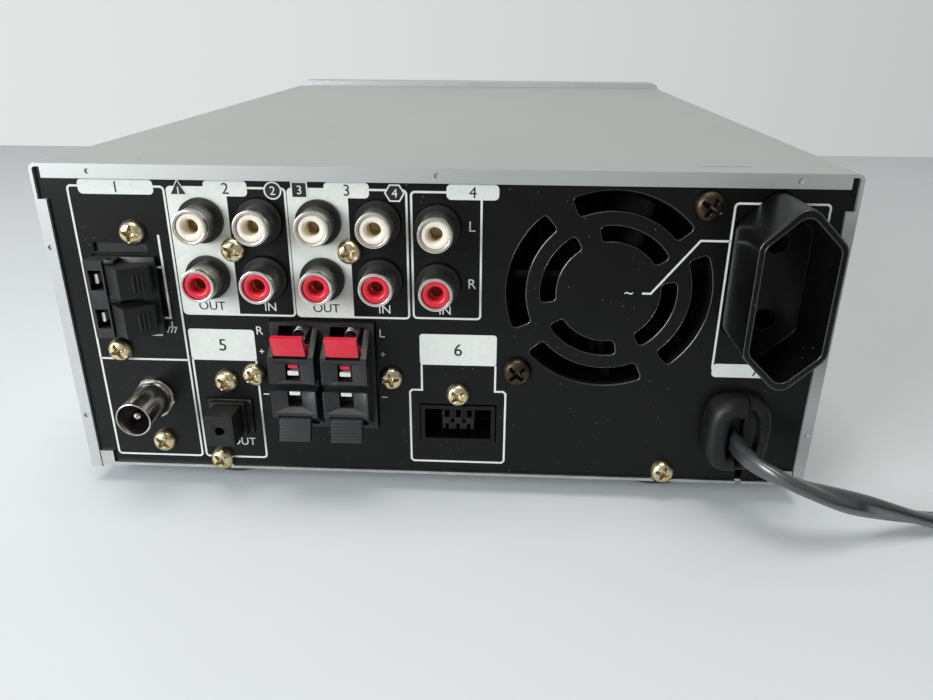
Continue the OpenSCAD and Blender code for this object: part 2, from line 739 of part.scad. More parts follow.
// Push terminal for two bare antenna wires
module antenna_terminal() {
    flange_deep = 8;
    hole_x = am_x + 5.3;
    boss_x = am_x + 3.2;
    boss_out = 5;
    rib_x = [am_x + 0.6, boss_x + 0.5];
    rib_out = 4.4;
    low = am_mid - am_h / 2;
    high = am_mid + am_h / 2;
    levers = [am_lever_mid[0] - am_lever_h / 2, am_lever_mid[0] + am_lever_h / 2,
        am_lever_mid[1] - am_lever_h / 2, am_lever_mid[1] + am_lever_h / 2];
    ribs = [[low, levers[0] - fold_gap], [levers[1] + fold_gap, levers[2] - fold_gap],
        [levers[3] + fold_gap, high]];
    color([0.16, 0.16, 0.17]) difference() {
        union() {
            block([am_x - am_w / 2, inside_y - flange_deep, lvl(am_screws[1][1] - 3.3)],
                [am_x + am_w / 2, inside_y, lvl(am_screws[0][1] + 3)]);
            block([am_x - am_w / 2, inside_y - 1, lvl(low)], [am_x + am_w / 2, panel_y + am_base, lvl(high)]);
            block([boss_x, inside_y, lvl(low)], [am_x + am_w / 2, panel_y + boss_out, lvl(high)]);
            for (r = ribs) block([rib_x[0], panel_y, lvl(r[0])], [rib_x[1], panel_y + rib_out, lvl(r[1])]);
        }
        for (h = am_lever_mid) block([hole_x - am_hole[0] / 2, inside_y - 4, lvl(h - am_hole[1] / 2)],
            [hole_x + am_hole[0] / 2, panel_y + boss_out + 1, lvl(h + am_hole[1] / 2)]);
        rod_z(am_pivot[0], am_pivot[1], am_pin_r + run_gap, lvl(low - 1), lvl(high + 1));
        for (p = am_screws) screw_bore(p);
    }
}
// Ridge-shaped lever on an upright pin; its right flank is pressed towards the panel
module antenna_lever(mid) {
    outline = [[2.9, 1.6], [2.9, 4.6], [-1.8, 8.4], [-7.6, 4.6], [-7.6, 3.5]];
    grips = [0.49, 0.63, 0.77];
    grip_r = 0.4;
    grip_long = 4.4;
    color([0.1, 0.1, 0.1]) {
        translate([am_x, panel_y, lvl(mid - am_lever_h / 2)]) {
            linear_extrude(am_lever_h) polygon(outline);
            for (k = grips) translate((outline[2] * (1 - k) + outline[3] * k) * [[1, 0, 0], [0, 1, 0]])
                translate([0, 0, am_lever_h / 2 - grip_long / 2]) cylinder(r = grip_r, h = grip_long);
        }
        rod_z(am_pivot[0], am_pivot[1], am_pin_r, lvl(mid - am_lever_h / 2 - am_rib),
            lvl(mid + am_lever_h / 2 + am_rib));
    }
}
module upper_antenna_lever() {
    antenna_lever(am_lever_mid[1]);
}
module lower_antenna_lever() {
    antenna_lever(am_lever_mid[0]);
}

// Coaxial aerial connector: flange, thin shell and centre pin
coax_wall = 0.45;
coax_base = 1.2;
coax_pin_r = 1;
coax_plug = 3;
module coax_connector() {
    flange_r = coax_d / 2 + 1.1;
    flat = 2 * flange_r - 1;
    pin_out = coax_len - 1.6;
    inner = coax_d / 2 - coax_wall;
    color("silver") {
        difference() {
            union() {
                intersection() {
                    rod_y(coax_x, lvl(coax_mid), flange_r, panel_y, panel_y + coax_base);
                    along_y(panel_y - 1, panel_y + 2 * coax_base) translate([coax_x, lvl(coax_mid)])
                        rotate(35)
                        square([flat, 3 * flange_r], center = true);
                }
                rod_y(coax_x, lvl(coax_mid), coax_d / 2, inside_y, panel_y + coax_len);
            }
            rod_y(coax_x, lvl(coax_mid), inner, panel_y + coax_base, panel_y + coax_len + 1);
        }
        rod_y(coax_x, lvl(coax_mid), coax_pin_r, panel_y + coax_base, panel_y + pin_out);
    }
}
module coax_insulator() {
    color("linen") difference() {
        rod_y(coax_x, lvl(coax_mid), coax_d / 2 - coax_wall - run_gap, panel_y + coax_base,
            panel_y + coax_base + coax_plug);
        rod_y(coax_x, lvl(coax_mid), coax_pin_r + run_gap, panel_y, panel_y + 3 * coax_plug);
    }
}
// Screened tuner box behind the coaxial connector
module tuner_pack() {
    left = 11.2;
    right = 8.2;
    deep = 17.8;
    low = 3;
    high = 30;
    lid = 0.5;
    color("lightgray") difference() {
        union() {
            block([coax_x - right, inside_y - deep, lvl(low)], [coax_x + left, inside_y, lvl(high)]);
            block([coax_x - right - lid, inside_y - deep, lvl(high - 6)],
                [coax_x + left + lid, inside_y - 1, lvl(high + lid)]);
        }
        screw_bore(coax_screw);
    }
}

// Optical output with its square dust cap
cap_stem = [6.4, 7.6];
cap_stem_len = 7;
opt_collar = 2.5;
module optical_jack() {
    deep = 13;
    proud = 0.5;
    ear_half = 3.8;
    mouth = cap_stem + 2 * [gap, gap];
    collar = mouth + [2, 1];
    color([0.12, 0.12, 0.12]) difference() {
        union() {
            along_y(inside_y - deep, panel_y + proud) translate([opt_x, lvl(opt_mid)])
                square([opt_w, opt_h], center = true);
            along_y(panel_y, panel_y + opt_collar) translate([opt_x, lvl(opt_mid)])
                square(collar, center = true);
            block([opt_x - ear_half, inside_y - deep / 2, lvl(opt_mid)],
                [opt_x + ear_half, inside_y, lvl(opt_screw[1] + 3.2)]);
        }
        along_y(panel_y - cap_stem_len - 1, panel_y + opt_collar + 1) translate([opt_x, lvl(opt_mid)])
            square(mouth, center = true);
        screw_bore(opt_screw);
    }
}
cap_hole_r = 1.2;
module dust_cap() {
    head = cap_stem + [0.7, 0.8];
    head_out = 9.2;
    head_from = opt_collar + gap;
    hole_deep = 5;
    color([0.2, 0.2, 0.21]) difference() {
        union() {
            along_y(panel_y - cap_stem_len, panel_y + head_from + 1) translate([opt_x, lvl(opt_mid)])
                square(cap_stem, center = true);
            along_y(panel_y + head_from, panel_y + head_out) translate([opt_x, lvl(opt_mid)])
                square(head, center = true);
        }
        rod_y(opt_x, lvl(opt_mid), cap_hole_r, panel_y + head_out - hole_deep, panel_y + head_out + 1);
    }
}

// Speaker terminal

spk_pitch = 12.9;
spk_col_w = 11.2;
spk_cut_w = 8.4;
spk_face = 8.2;
spk_floor = 7.7;
spk_pivot = [5.5, 9];
spk_pin_r = 0.7;
spk_hole_h = 3.6;
spk_hole = [3.6, 4.2];
spk_funnel = 1.3;
spk_back = 2.5;
spk_lever_w = 7.7;
function spk_col(i) = spk_x + (i == 0 ? 1 : -1) * spk_pitch / 2;

// Children drawn once above the terminal's middle and once mirrored below it
module above_and_below() {
    translate([0, panel_y, lvl(spk_mid)]) {
        children();
        mirror([0, 0, 1]) children();
    }
}
// A figure in y and z, drawn along x over a width that is centred on x
module across_x(x, w) {
    translate([x - w / 2, 0, 0]) rotate([90, 0, 90]) linear_extrude(w) children();
}
// Moulded push terminal with two columns; each column has a wire hole above and one below
module speaker_terminal() {
    deep = 10;
    step = 1.5;
    mouth = [10.2, 6.2];
    rim = 0.9;
    split = 0.8;
    split_out = 5;
    hole_to = -4;
    ear_h = 4.3;
    ear_deep = 6;
    throat_to = 4.2;
    throat = spk_cut_w / 2 - 2.2;
    half_h = spk_h / 2;
    color([0.14, 0.14, 0.15]) difference() {
        union() {
            block([spk_x - spk_w / 2, inside_y - deep, lvl(spk_mid - half_h)],
                [spk_x + spk_w / 2, panel_y + step, lvl(spk_mid + half_h)]);
            block([spk_screws[0][0] - 2.6, inside_y - ear_deep, lvl(spk_mid - ear_h)],
                [spk_screws[1][0] + 2.6, inside_y, lvl(spk_mid + ear_h)]);
            above_and_below() for (i = [0, 1]) across_x(spk_col(i), spk_col_w)
                polygon([[0, 0], [spk_out, 0], [spk_out, spk_face], [step, half_h - step],
                    [0, half_h - step]]);
        }
        above_and_below() for (i = [0, 1]) {
            translate([spk_col(i) - spk_cut_w / 2, -spk_back, spk_floor])
                cube([spk_cut_w, 2 * spk_out, half_h - rim - spk_floor]);
            translate([spk_col(i) - throat, -spk_back, spk_hole_h])
                cube([2 * throat, spk_back + throat_to, spk_floor]);
            translate([spk_col(i) - spk_hole[0] / 2, hole_to, spk_hole_h - spk_hole[1] / 2])
                cube([spk_hole[0], spk_out - hole_to, spk_hole[1]]);
            translate([spk_col(i) - spk_col_w, split_out, -1]) cube([2 * spk_col_w, spk_out, 1 + split]);
            translate([spk_col(i), spk_out, spk_floor - 0.8 - mouth[1] / 2]) rotate([90, 0, 0])
                linear_extrude(spk_funnel, slices = 1, segments = 1,
                    scale = [spk_hole[0] / mouth[0], spk_hole[1] / mouth[1]])
                    square(mouth, center = true);
            translate([spk_col(i) - spk_col_w / 2 + 0.6, spk_pivot[0], spk_pivot[1]]) rotate([0, 90, 0])
                cylinder(r = spk_pin_r + run_gap, h = spk_col_w - 1.2);
        }
        for (p = spk_screws) screw_bore(p);
    }
}
// Plated strips that grip the wires, one in each hole
module terminal_contacts() {
    from = -2;
    strip = [2.8, spk_out - spk_funnel - from - 0.4, 1];
    color("lightgray") above_and_below() for (i = [0, 1])
        translate([spk_col(i) - strip[0] / 2, from, spk_hole_h - spk_hole[1] / 2 + 0.1]) cube(strip);
}
// Sprung tab with its pivot pin and the tongue that reaches into the wire hole
module speaker_lever(i) {
    tab = [[8.7, 8.6], [10.7, 13.8], [9.2, 14.1], [7, 10.4], [4.6, 10.1], [4.6, 8], [7.5, 8]];
    tongue = [[0.4, 4.5], [2.6, 4.2], [3.4, 8], [5, 9.8], [4.6, 10.1], [1.2, 8.6]];
    tongue_w = 2.8;
    across_x(spk_col(i), spk_lever_w) polygon(tab);
    across_x(spk_col(i), tongue_w) polygon(tongue);
    translate([spk_col(i) - spk_col_w / 2 + 0.8, spk_pivot[0], spk_pivot[1]]) rotate([0, 90, 0])
        cylinder(r = spk_pin_r, h = spk_col_w - 1.6);
}
module red_lever(i) {
    color("red") translate([0, panel_y, lvl(spk_mid)]) speaker_lever(i);
}
module black_lever(i) {
    color([0.12, 0.12, 0.13]) translate([0, panel_y, lvl(spk_mid)]) mirror([0, 0, 1]) speaker_lever(i);
}
module left_red_lever() {
    red_lever(0);
}
module right_red_lever() {
    red_lever(1);
}
module left_black_lever() {
    black_lever(0);
}
module right_black_lever() {
    black_lever(1);
}
// Visible return spring behind each red tab: curls round an axis along Y
spring_r = 1.5;
spring_wire = 0.5;
spring_curls = 5;
spring_side = 1.1;
spring_up = 11.6;
curl_rings = 8;
spring_from = 0.3 - spk_back;
spring_to = 3.4;
function spring_ring(i, n) =
    let (a = 360 * n / curl_rings,
        rise = (spring_to - spring_from - spring_wire) / (spring_curls * curl_rings))
    let (out = [cos(a), 0, sin(a)],
        heading = unit([-sin(a) * 2 * PI * spring_r / curl_rings, rise,
            cos(a) * 2 * PI * spring_r / curl_rings]))
    let (side = unit(cross(heading, out)))
    [for (k = [0:5]) [spk_col(i) - spring_side, panel_y + spring_from + spring_wire / 2 + rise * n,
        lvl(spk_mid) + spring_up]
        + spring_r * out + spring_wire / 2 * (out * cos(60 * k) + side * sin(60 * k))];
module lever_spring(i) {
    rings = [for (n = [0:spring_curls * curl_rings]) spring_ring(i, n)];
    echo("lever spring, least gap to itself in mm", self_gap(rings, curl_rings - 1, 3 * spring_r));
    color("white") tube(rings);
}
module left_lever_spring() {
    lever_spring(0);
}
module right_lever_spring() {
    lever_spring(1);
}

// System socket: a recessed box with a toothed tongue that hangs from its roof
module system_socket() {
    deep = 14;
    proud = 0.4;
    wall = 1.1;
    cavity_deep = 11;
    tongue = [8.7, 4.1];
    tongue_out = 9;
    teeth = 3;
    tooth_w = 1.1;
    tooth_deep = 2.6;
    ear_half = 4;
    roof = lvl(socket_mid + socket_h / 2 - wall);
    color([0.13, 0.13, 0.14]) difference() {
        union() {
            difference() {
                union() {
                    along_y(inside_y - deep, panel_y + proud) translate([socket_x, lvl(socket_mid)])
                        square([socket_w, socket_h], center = true);
                    block([socket_x - ear_half, inside_y - 6, lvl(socket_mid)],
                        [socket_x + ear_half, inside_y, lvl(socket_screw[1] + 3.2)]);
                }
                along_y(panel_y - cavity_deep, panel_y + 1) translate([socket_x, lvl(socket_mid)])
                    square([socket_w - 2 * wall, socket_h - 2 * wall], center = true);
            }
            block([socket_x - tongue[0] / 2, panel_y - cavity_deep - 1, roof - tongue[1]],
                [socket_x + tongue[0] / 2, panel_y - cavity_deep + tongue_out, roof + wall / 2]);
        }
        for (k = [0:teeth - 1]) {
            x = socket_x + (k - (teeth - 1) / 2) * tongue[0] / teeth;
            block([x - tooth_w / 2, panel_y - cavity_deep, roof - tongue[1] - 1],
                [x + tooth_w / 2, panel_y, roof - tongue[1] + tooth_deep]);
        }
        screw_bore(socket_screw);
    }
}

// Mains outlet, bushing and cord

outlet_r = 3.2;
outlet_recess = 15.5;
outlet_floor = 2;
contact_wall = 0.9;
contact_len = 12;
outlet_mouth = rear_y + outlet_len;
contact_r = pin_d / 2 + run_gap + contact_wall;
// Deep hexagonal outlet with a flange behind the panel and two contact chambers
module outlet_body() {
    flange = 2;
    back_y = outlet_mouth - outlet_recess - outlet_floor - contact_len - 1;
    hex_in = [outlet_w - 2 * outlet_wall, outlet_h - 2 * outlet_wall * sqrt(2),
        outlet_side - outlet_wall / 2];
    color([0.12, 0.12, 0.12]) translate([outlet_x, 0, lvl(outlet_mid)]) difference() {
        union() {
            along_y(back_y, outlet_mouth) plug_hexagon(outlet_w, outlet_h, outlet_side, outlet_r);
            along_y(inside_y - flange, inside_y)
                plug_hexagon(outlet_w + 2 * flange, outlet_h + 3 * flange, outlet_side + flange,
                    outlet_r + flange);
        }
        along_y(outlet_mouth - outlet_recess, outlet_mouth + 1)
            plug_hexagon(hex_in[0], hex_in[1], hex_in[2], outlet_r - outlet_wall / 2);
        for (s = [-1, 1]) {
            rod_y(0, s * pin_pitch / 2, pin_d / 2 + gap, outlet_mouth - outlet_recess - outlet_floor - 1,
                outlet_mouth);
            rod_y(0, s * pin_pitch / 2, contact_r + run_gap, back_y + 1,
                outlet_mouth - outlet_recess - outlet_floor);
        }
    }
}
module outlet_contacts() {
    front = outlet_mouth - outlet_recess - outlet_floor;
    color("gold") for (s = [-1, 1]) difference() {
        rod_y(outlet_x, lvl(outlet_mid) + s * pin_pitch / 2, contact_r, front - contact_len, front);
        rod_y(outlet_x, lvl(outlet_mid) + s * pin_pitch / 2, pin_d / 2 + run_gap, front - contact_len - 1,
            front + 1);
    }
}

bush_r = 6;
bush_step = 3;
bush_split = bush_x - 1.5;
bush_slot = [4.6, 11.6];
bush_slot_x = bush_x + 0.7;
bush_slot_mid = 15.9;
slot_floor = 0.6;
// Two-part cord bushing: the halves meet beside the slot, and the right half is cut back for the bend
module bushing_block() {
    neck = 6;
    soft = 2;
    translate([bush_x, 0, lvl(bush_mid)]) {
        hull() {
            along_y(panel_y, panel_y + bush_out - soft) rounded_rect(bush_w, bush_h, bush_r, $fn = 32);
            along_y(panel_y, panel_y + bush_out)
                rounded_rect(bush_w - 2 * soft, bush_h - 2 * soft, bush_r - soft, $fn = 32);
        }
        along_y(inside_y - neck, panel_y + 1) rounded_rect(bush_w - bush_step, bush_h - bush_step, bush_r);
    }
}
module strain_relief() {
    far = 60;
    seam = 0.15;
    cut_back = [4.4, 13];
    cut_floor = 2.4;
    color([0.1, 0.1, 0.1]) {
        difference() {
            bushing_block();
            block([-body_w, -far, 0] + [0, panel_y, 0], [bush_split + seam, panel_y + far, far]);
            block([bush_slot_x - bush_slot[0] / 2, panel_y + slot_floor,
                lvl(bush_slot_mid - bush_slot[1] / 2)],
                [bush_slot_x + bush_slot[0] / 2, panel_y + far, lvl(bush_slot_mid + bush_slot[1] / 2)]);
        }
        difference() {
            bushing_block();
            block([bush_split - seam, panel_y - far, 0], [body_w, panel_y + far, far]);
            block([bush_split - cut_back[0], panel_y + cut_floor, lvl(bush_slot_mid - 2 - cut_back[1] / 2)],
                [bush_split + 1, panel_y + far, lvl(bush_slot_mid - 2 + cut_back[1] / 2)]);
        }
    }
}

// Cord route: x, y, z and roll of the wide side from level, from the bushing to the coil
coil_mid = [-162, 178];
coil_r = 39;
lead = 6;
cord_route = [[-74.7, 130, 20.2, 90], [-74.8, 134, 20.2, 88], [-75.2, 137.8, 20.2, 84],
    [-76.1, 141.2, 20.1, 76], [-77.7, 144, 19.8, 64], [-80.1, 146.3, 19.2, 48], [-83.4, 147.9, 18.2, 28],
    [-87.6, 148.6, 16.8, 6], [-92.8, 148.2, 14.9, -24], [-98.6, 147, 12.6, -58], [-104.9, 145.2, 10.1, -92],
    [-111.2, 143.3, 7.6, -122], [-117.6, 141.5, 5.3, -150], [-124.5, 140, 3.4, -174],
    [-131.5, 139.3, 2.6, -196], [-139, 139, 2.9, -226], [-147, 139, 3.6, -254], [coil_mid[0] + lead, coil_mid[1] - coil_r, 3.7, -270]];
function route_point(i) = [cord_route[i][0], cord_route[i][1], cord_route[i][2]];
function route_heading(i) = i == 0 ? [0, 1, 0] : i == len(cord_route) - 1 ? [-1, 0, 0] :
    unit(route_point(i + 1) - route_point(i - 1));
module power_cord() {
    sides = 8;
    color([0.25, 0.25, 0.26]) tube([for (i = [0:len(cord_route) - 1])
        ring(route_point(i), route_heading(i), cord_route[i][3], cord_w, cord_t, sides)]);
}
// Coil of the spare length: in along the floor, up a layer at the eye, and out again on top
coil_turns = 3.25;
coil_step = 4.7;
coil_layer = 6.5;
coil_low = cord_route[len(cord_route) - 1][2];
loop_rings = 24;
tail = 44;
plug_mid = 7;
function ease(f) = f * f * (3 - 2 * f);
function coil_radius(q) = q <= coil_turns ? coil_r - coil_step * q :
    coil_r - coil_step * coil_turns + coil_step * max(0, q - coil_turns - 0.5);
function coil_height(q) = coil_low + coil_layer * ease(min(1, max(0, (q - coil_turns) * 2)));
function coil_ring(q) = let (a = -90 - 360 * q)
    ring([coil_mid[0] + coil_radius(q) * cos(a), coil_mid[1] + coil_radius(q) * sin(a), coil_height(q)],
        [sin(a), -cos(a), 0], 90, cord_w, cord_t, 6);
function straight_ring(along, z) = ring([coil_mid[0] - along, coil_mid[1] - coil_r, z], [-1, 0, 0], 90,
    cord_w, cord_t, 6);
module cord_coil() {
    turns = 2 * coil_turns + 0.5;
    top = coil_low + coil_layer;
    tail_steps = 5;
    rings = concat([straight_ring(-lead, coil_low)],
        [for (n = [0:turns * loop_rings]) coil_ring(n / loop_rings)],
        [for (k = [1:tail_steps])
            straight_ring((tail - lead) * k / tail_steps, top + (plug_mid - top) * ease(k / tail_steps))],
        [straight_ring(tail, plug_mid)]);
    echo("cord coil, least gap to itself in mm", self_gap(rings, loop_rings / 2, 3 * cord_w));
    color([0.25, 0.25, 0.26]) tube(rings);
}
// Flat tie round all the turns on the far side of the coil
module cord_tie() {
    tie_t = 0.5;
    tie_w = 6;
    slack = 0.35;
    low = coil_low - cord_w / 2 - slack;
    high = coil_low + coil_layer + cord_w / 2 + slack;
    near = coil_r - coil_step * coil_turns - cord_t / 2 - slack - coil_step / 4;
    far = coil_r + cord_t / 2 + slack;
    color([0.1, 0.1, 0.1]) translate([coil_mid[0] - tie_w / 2, coil_mid[1], 0]) difference() {
        block([0, near - tie_t, low - tie_t], [tie_w, far + tie_t, high + tie_t]);
        block([-1, near, low], [tie_w + 1, far, high]);
    }
}
// Flat two-pin plug that lies beside the coil
module mains_plug() {
    body = [37, 35.3, 13.7];
    neck = [9, 7.4];
    pin_len = 19;
    slim = 0.62;
    x0 = coil_mid[0] - tail;
    y = coil_mid[1] - coil_r;
    color([0.15, 0.15, 0.15]) {
        hull() {
            translate([x0 - 1, y - neck[0] / 2, plug_mid - neck[1] / 2]) cube([1, neck[0], neck[1]]);
            translate([x0 - body[0] * slim, y - body[1] / 2, plug_mid - body[2] / 2])
                cube([1, body[1], body[2]]);
            translate([x0 - body[0], y - body[1] / 2, plug_mid - body[2] / 2]) cube([1, body[1], body[2]]);
        }
        for (s = [-1, 1]) translate([x0 - body[0] - pin_len, y + s * pin_pitch / 2, plug_mid])
            rotate([0, 90, 0])
            cylinder(d = pin_d, h = pin_len + 2);
    }
}

// Fan and power supply

fan_bore_r = fan_size / 2 - 1;
fan_low = inside_y - fan_t;
fan_hub_r = 12.5;
fan_pin_r = 1.5;
fan_back = 2.5;
// Square fan frame with four struts that carry the spindle
module fan_frame() {
    strut = 3;
    color([0.14, 0.14, 0.14]) {
        difference() {
            along_y(fan_low, inside_y) translate([fan_x, lvl(fan_mid)]) {
                difference() {
                    square(fan_size, center = true);
                    circle(fan_bore_r, $fn = 96);
                }
            }
            for (p = fan_screw_list) rod_y(p[0], lvl(p[1]), fan_screw_r + gap, fan_low - 1, inside_y + 1);
        }
        along_y(fan_low, fan_low + fan_back) translate([fan_x, lvl(fan_mid)]) {
            circle(fan_hub_r);
            for (a = [45, 135]) rotate(a) square([2 * fan_bore_r + 1, strut], center = true);
        }
        rod_y(fan_x, lvl(fan_mid), fan_pin_r, fan_low + 1, inside_y - 2.5);
    }
}
// Rotor with seven pitched blades on a cup-shaped hub
module fan_rotor() {
    blades = 7;
    pitch = 38;
    blade_t = 1.4;
    y0 = fan_low + fan_back + 0.6;
    y1 = inside_y - 1.2;
    tip_r = fan_bore_r - 0.8;
    color([0.18, 0.18, 0.18]) difference() {
        union() {
            rod_y(fan_x, lvl(fan_mid), fan_hub_r - 0.5, y0, y1);
            intersection() {
                rod_y(fan_x, lvl(fan_mid), tip_r, y0 + 0.5, y1 - 0.5);
                for (k = [0:blades - 1]) translate([fan_x, (y0 + y1) / 2, lvl(fan_mid)])
                    rotate([0, 360 * k / blades, 0])
                    rotate([pitch, 0, 0])
                        block([fan_hub_r - 2, -fan_t, -blade_t / 2], [tip_r + 2, fan_t, blade_t / 2]);
            }
        }
        rod_y(fan_x, lvl(fan_mid), fan_pin_r + run_gap, y0 - 1, inside_y - 2.5 + gap);
    }
}
// Finned heat sink that stands on the chassis in the fan's air stream
module heat_sink() {
    half = 25;
    base = 4;
    fin_deep = 10;
    fin_t = 1.5;
    fin_step = 5;
    high = 70;
    y1 = fan_low - 1.6;
    y0 = y1 - fin_deep - base;
    color("dimgray") {
        block([fan_x - half, y0, lvl(sheet_t)], [fan_x + half, y0 + base, lvl(high)]);
        for (x = [-half:fin_step:half - fin_t]) {
            block([fan_x + x, y0 + base / 2, lvl(sheet_t)], [fan_x + x + fin_t, y1, lvl(high)]);
        }
    }
}
// Laminated core with its winding, on a strap that is bolted to the chassis
module power_transformer() {
    core = [54, 24, 44];
    leg = 18;
    window = 9;
    yoke = 9;
    winding_deep = 44;
    x = -(body_w / 2 - 34);
    y = rear_y - 58;
    z0 = lvl(sheet_t);
    half = core[0] / 2;
    color("darkslategray") difference() {
        union() {
            block([x - half, y - core[1] / 2, z0], [x + half, y + core[1] / 2, z0 + core[2]]);
            block([x - half, y - core[1], z0], [x + half, y + core[1], z0 + 1.5]);
        }
        for (s = [-1, 1]) translate([x + s * (leg / 2 + window / 2), y, z0 + core[2] / 2])
            cube([window, 2 * core[1], core[2] - 2 * yoke], center = true);
    }
    color("peru") difference() {
        block([x - leg / 2 - window + gap, y - winding_deep / 2, z0 + yoke + gap],
            [x + leg / 2 + window - gap, y + winding_deep / 2, z0 + core[2] - yoke - gap]);
        block([x - leg / 2 - gap, y - core[1] / 2 - gap, z0],
            [x + leg / 2 + gap, y + core[1] / 2 + gap, z0 + core[2]]);
    }
}
// Main circuit board on its posts, with capacitors and an amplifier chip
leg_r = 4;
module main_board() {
    top = lvl(board_low + board_t);
    can_r = 8;
    can_h = 24;
    chip = [30, 9, 16];
    color("darkgreen") {
        difference() {
            block([board_x[0], board_y[0], lvl(board_low)], [board_x[1], board_y[1], top]);
            for (y = deck_leg_y) rod_z(deck_leg_x, y, leg_r + 1, lvl(board_low) - 1, top + 1);
        }
        for (k = [0:3]) rod_z(8 + 20 * k, cover_y + 145, can_r, top, top + can_h);
        block([10, board_y[1] - 40, top], [10 + chip[0], board_y[1] - 40 + chip[1], top + chip[2]]);
        block([20, cover_y + 60, top], [60, cover_y + 84, top + 4]);
    }
}

// Disc drive

deck_low = 38;
deck_t = 2;
deck_wall = 2;
deck_y0 = front_board_y + gap;
deck_len = 162;
deck_y1 = deck_y0 + deck_len;
deck_in = tray_half + 2 * gap;
deck_out = deck_in + deck_wall;
deck_high = tray_low + tray_t + 6;
deck_leg_x = deck_out - leg_r - 1;
deck_leg_y = [deck_y0 + 7, deck_y1 - 6];
disc_y = cover_y + disc_d / 2 - 0.3;
rail_x = 20;
rail_h = 48;
motor_r = 12.5;
motor_top = 56;
sled_y = disc_y + 16;
sled_len = 30;
sled_half = 25;
sled_low = 44;
sled_high = 54;
rail_y0 = disc_y + 8;
rail_y1 = sled_y + sled_len + sled_travel + 6;
post_len = 5;
slide_gap = 0.1;
tray_pitch_r = tray_module * tray_teeth / 2;
rack_x = 50;
pinion_x = rack_x - tray_pitch_r;
pinion_y = deck_y0 + 13;
rack_h = 4;
loader_top = 52;
loader_r = 2;
sled_pitch_r = sled_module * sled_teeth / 2;
sled_rack_x = sled_half + 2.2;
sled_gear_x = sled_rack_x + 1.25 * sled_module + sled_pitch_r;
sled_gear_y = sled_y + sled_len + 6;
sled_gear_low = 46;
sled_gear_t = 4;
sled_drive_top = 45;
sled_shaft_r = 1;

// Drive chassis on four legs: floor, side walls, tray runners and rail posts
module cd_deck() {
    runner = 5;
    keeper = 20;
    post_half = 4;
    color([0.3, 0.3, 0.32]) difference() {
        union() {
            block([-deck_out, deck_y0, lvl(deck_low)], [deck_out, deck_y1, lvl(deck_low + deck_t)]);
            both_sides() {
                block([deck_in, deck_y0, lvl(deck_low)], [deck_out, deck_y1, lvl(deck_high)]);
                block([deck_in - runner, deck_y0, lvl(tray_low - slide_gap - deck_t)],
                    [deck_out, deck_y1, lvl(tray_low - slide_gap)]);
                block([deck_in - runner, deck_y0, lvl(tray_low + tray_t + fold_gap)],
                    [deck_out, deck_y0 + keeper, lvl(tray_low + tray_t + fold_gap + deck_t)]);
                for (y = deck_leg_y) rod_z(deck_leg_x, y, leg_r, lvl(sheet_t), lvl(deck_low + 1));
                for (y = [rail_y0 - 1, rail_y1 - post_len + 1])
                    block([rail_x - post_half, y, lvl(deck_low)],
                        [rail_x + post_half, y + post_len, lvl(rail_h + 4)]);
            }
        }
        both_sides() rod_y(rail_x, lvl(rail_h), rail_d / 2 + run_gap, rail_y0, rail_y1);
    }
}
module sled_rails() {
    color("silver") both_sides() rod_y(rail_x, lvl(rail_h), rail_d / 2, rail_y0, rail_y1);
}
// Loading gearmotor, spindle motor and sled gearmotor, all seated on the drive floor
module deck_motors() {
    loader = [11, 9, 20];
    drive_half = 7;
    floor_z = lvl(deck_low + deck_t);
    color("darkgray") {
        difference() {
            block([pinion_x - loader[0], pinion_y - loader[1], floor_z],
                [pinion_x + loader[0], pinion_y + loader[2], lvl(loader_top)]);
            rod_z(pinion_x, pinion_y, loader_r + run_gap, floor_z + 2, lvl(loader_top) + 1);
        }
        difference() {
            rod_z(0, disc_y, motor_r, floor_z, lvl(motor_top));
            rod_z(0, disc_y, rail_d / 2 + run_gap, floor_z + 3, lvl(motor_top) + 1);
        }
        difference() {
            block([sled_gear_x - drive_half, sled_gear_y - drive_half, floor_z],
                [sled_gear_x + drive_half, sled_gear_y + drive_half, lvl(sled_drive_top)]);
            rod_z(sled_gear_x, sled_gear_y, sled_shaft_r + run_gap, floor_z + 1, lvl(sled_drive_top) + 1);
        }
    }
}
// Bridge over the tray that carries the disc clamp
bridge_t = 1.5;
clamp_hub_r = 11.5;
module clamp_bridge() {
    half = 16;
    color("silver") difference() {
        block([-deck_out, disc_y - half, lvl(deck_high)],
            [deck_out, disc_y + half, lvl(deck_high + bridge_t)]);
        rod_z(0, disc_y, clamp_hub_r + gap, lvl(deck_high - 1), lvl(deck_high + bridge_t + 1));
    }
}
// Clamp: a puck below the bridge and a flange above it that hangs on the bridge
module disc_clamp() {
    puck_r = 15;
    flange_r = 14;
    puck_t = 2;
    flange_t = 1.2;
    puck_top = deck_high - 1;
    color([0.2, 0.2, 0.2]) {
        rod_z(0, disc_y, puck_r, lvl(puck_top - puck_t), lvl(puck_top));
        rod_z(0, disc_y, clamp_hub_r, lvl(puck_top - 1), lvl(deck_high + bridge_t + 1));
        rod_z(0, disc_y, flange_r, lvl(deck_high + bridge_t + gap),
            lvl(deck_high + bridge_t + gap + flange_t));
    }
}
// Turntable with its centring cone and motor shaft
module turntable() {
    platter_r = 14.5;
    hub_r = 5;
    cone_r = 7.3;
    seat = tray_low + 1;
    color([0.22, 0.22, 0.22]) {
        rod_z(0, disc_y, platter_r, lvl(seat), lvl(seat + 3));
        rod_z(0, disc_y, hub_r, lvl(motor_top + gap), lvl(seat + 1));
        translate([0, disc_y, lvl(seat + 3)]) cylinder(r1 = cone_r, r2 = cone_r - 1, h = 2);
        rod_z(0, disc_y, rail_d / 2, lvl(motor_top - 11), lvl(seat + 1));
    }
}
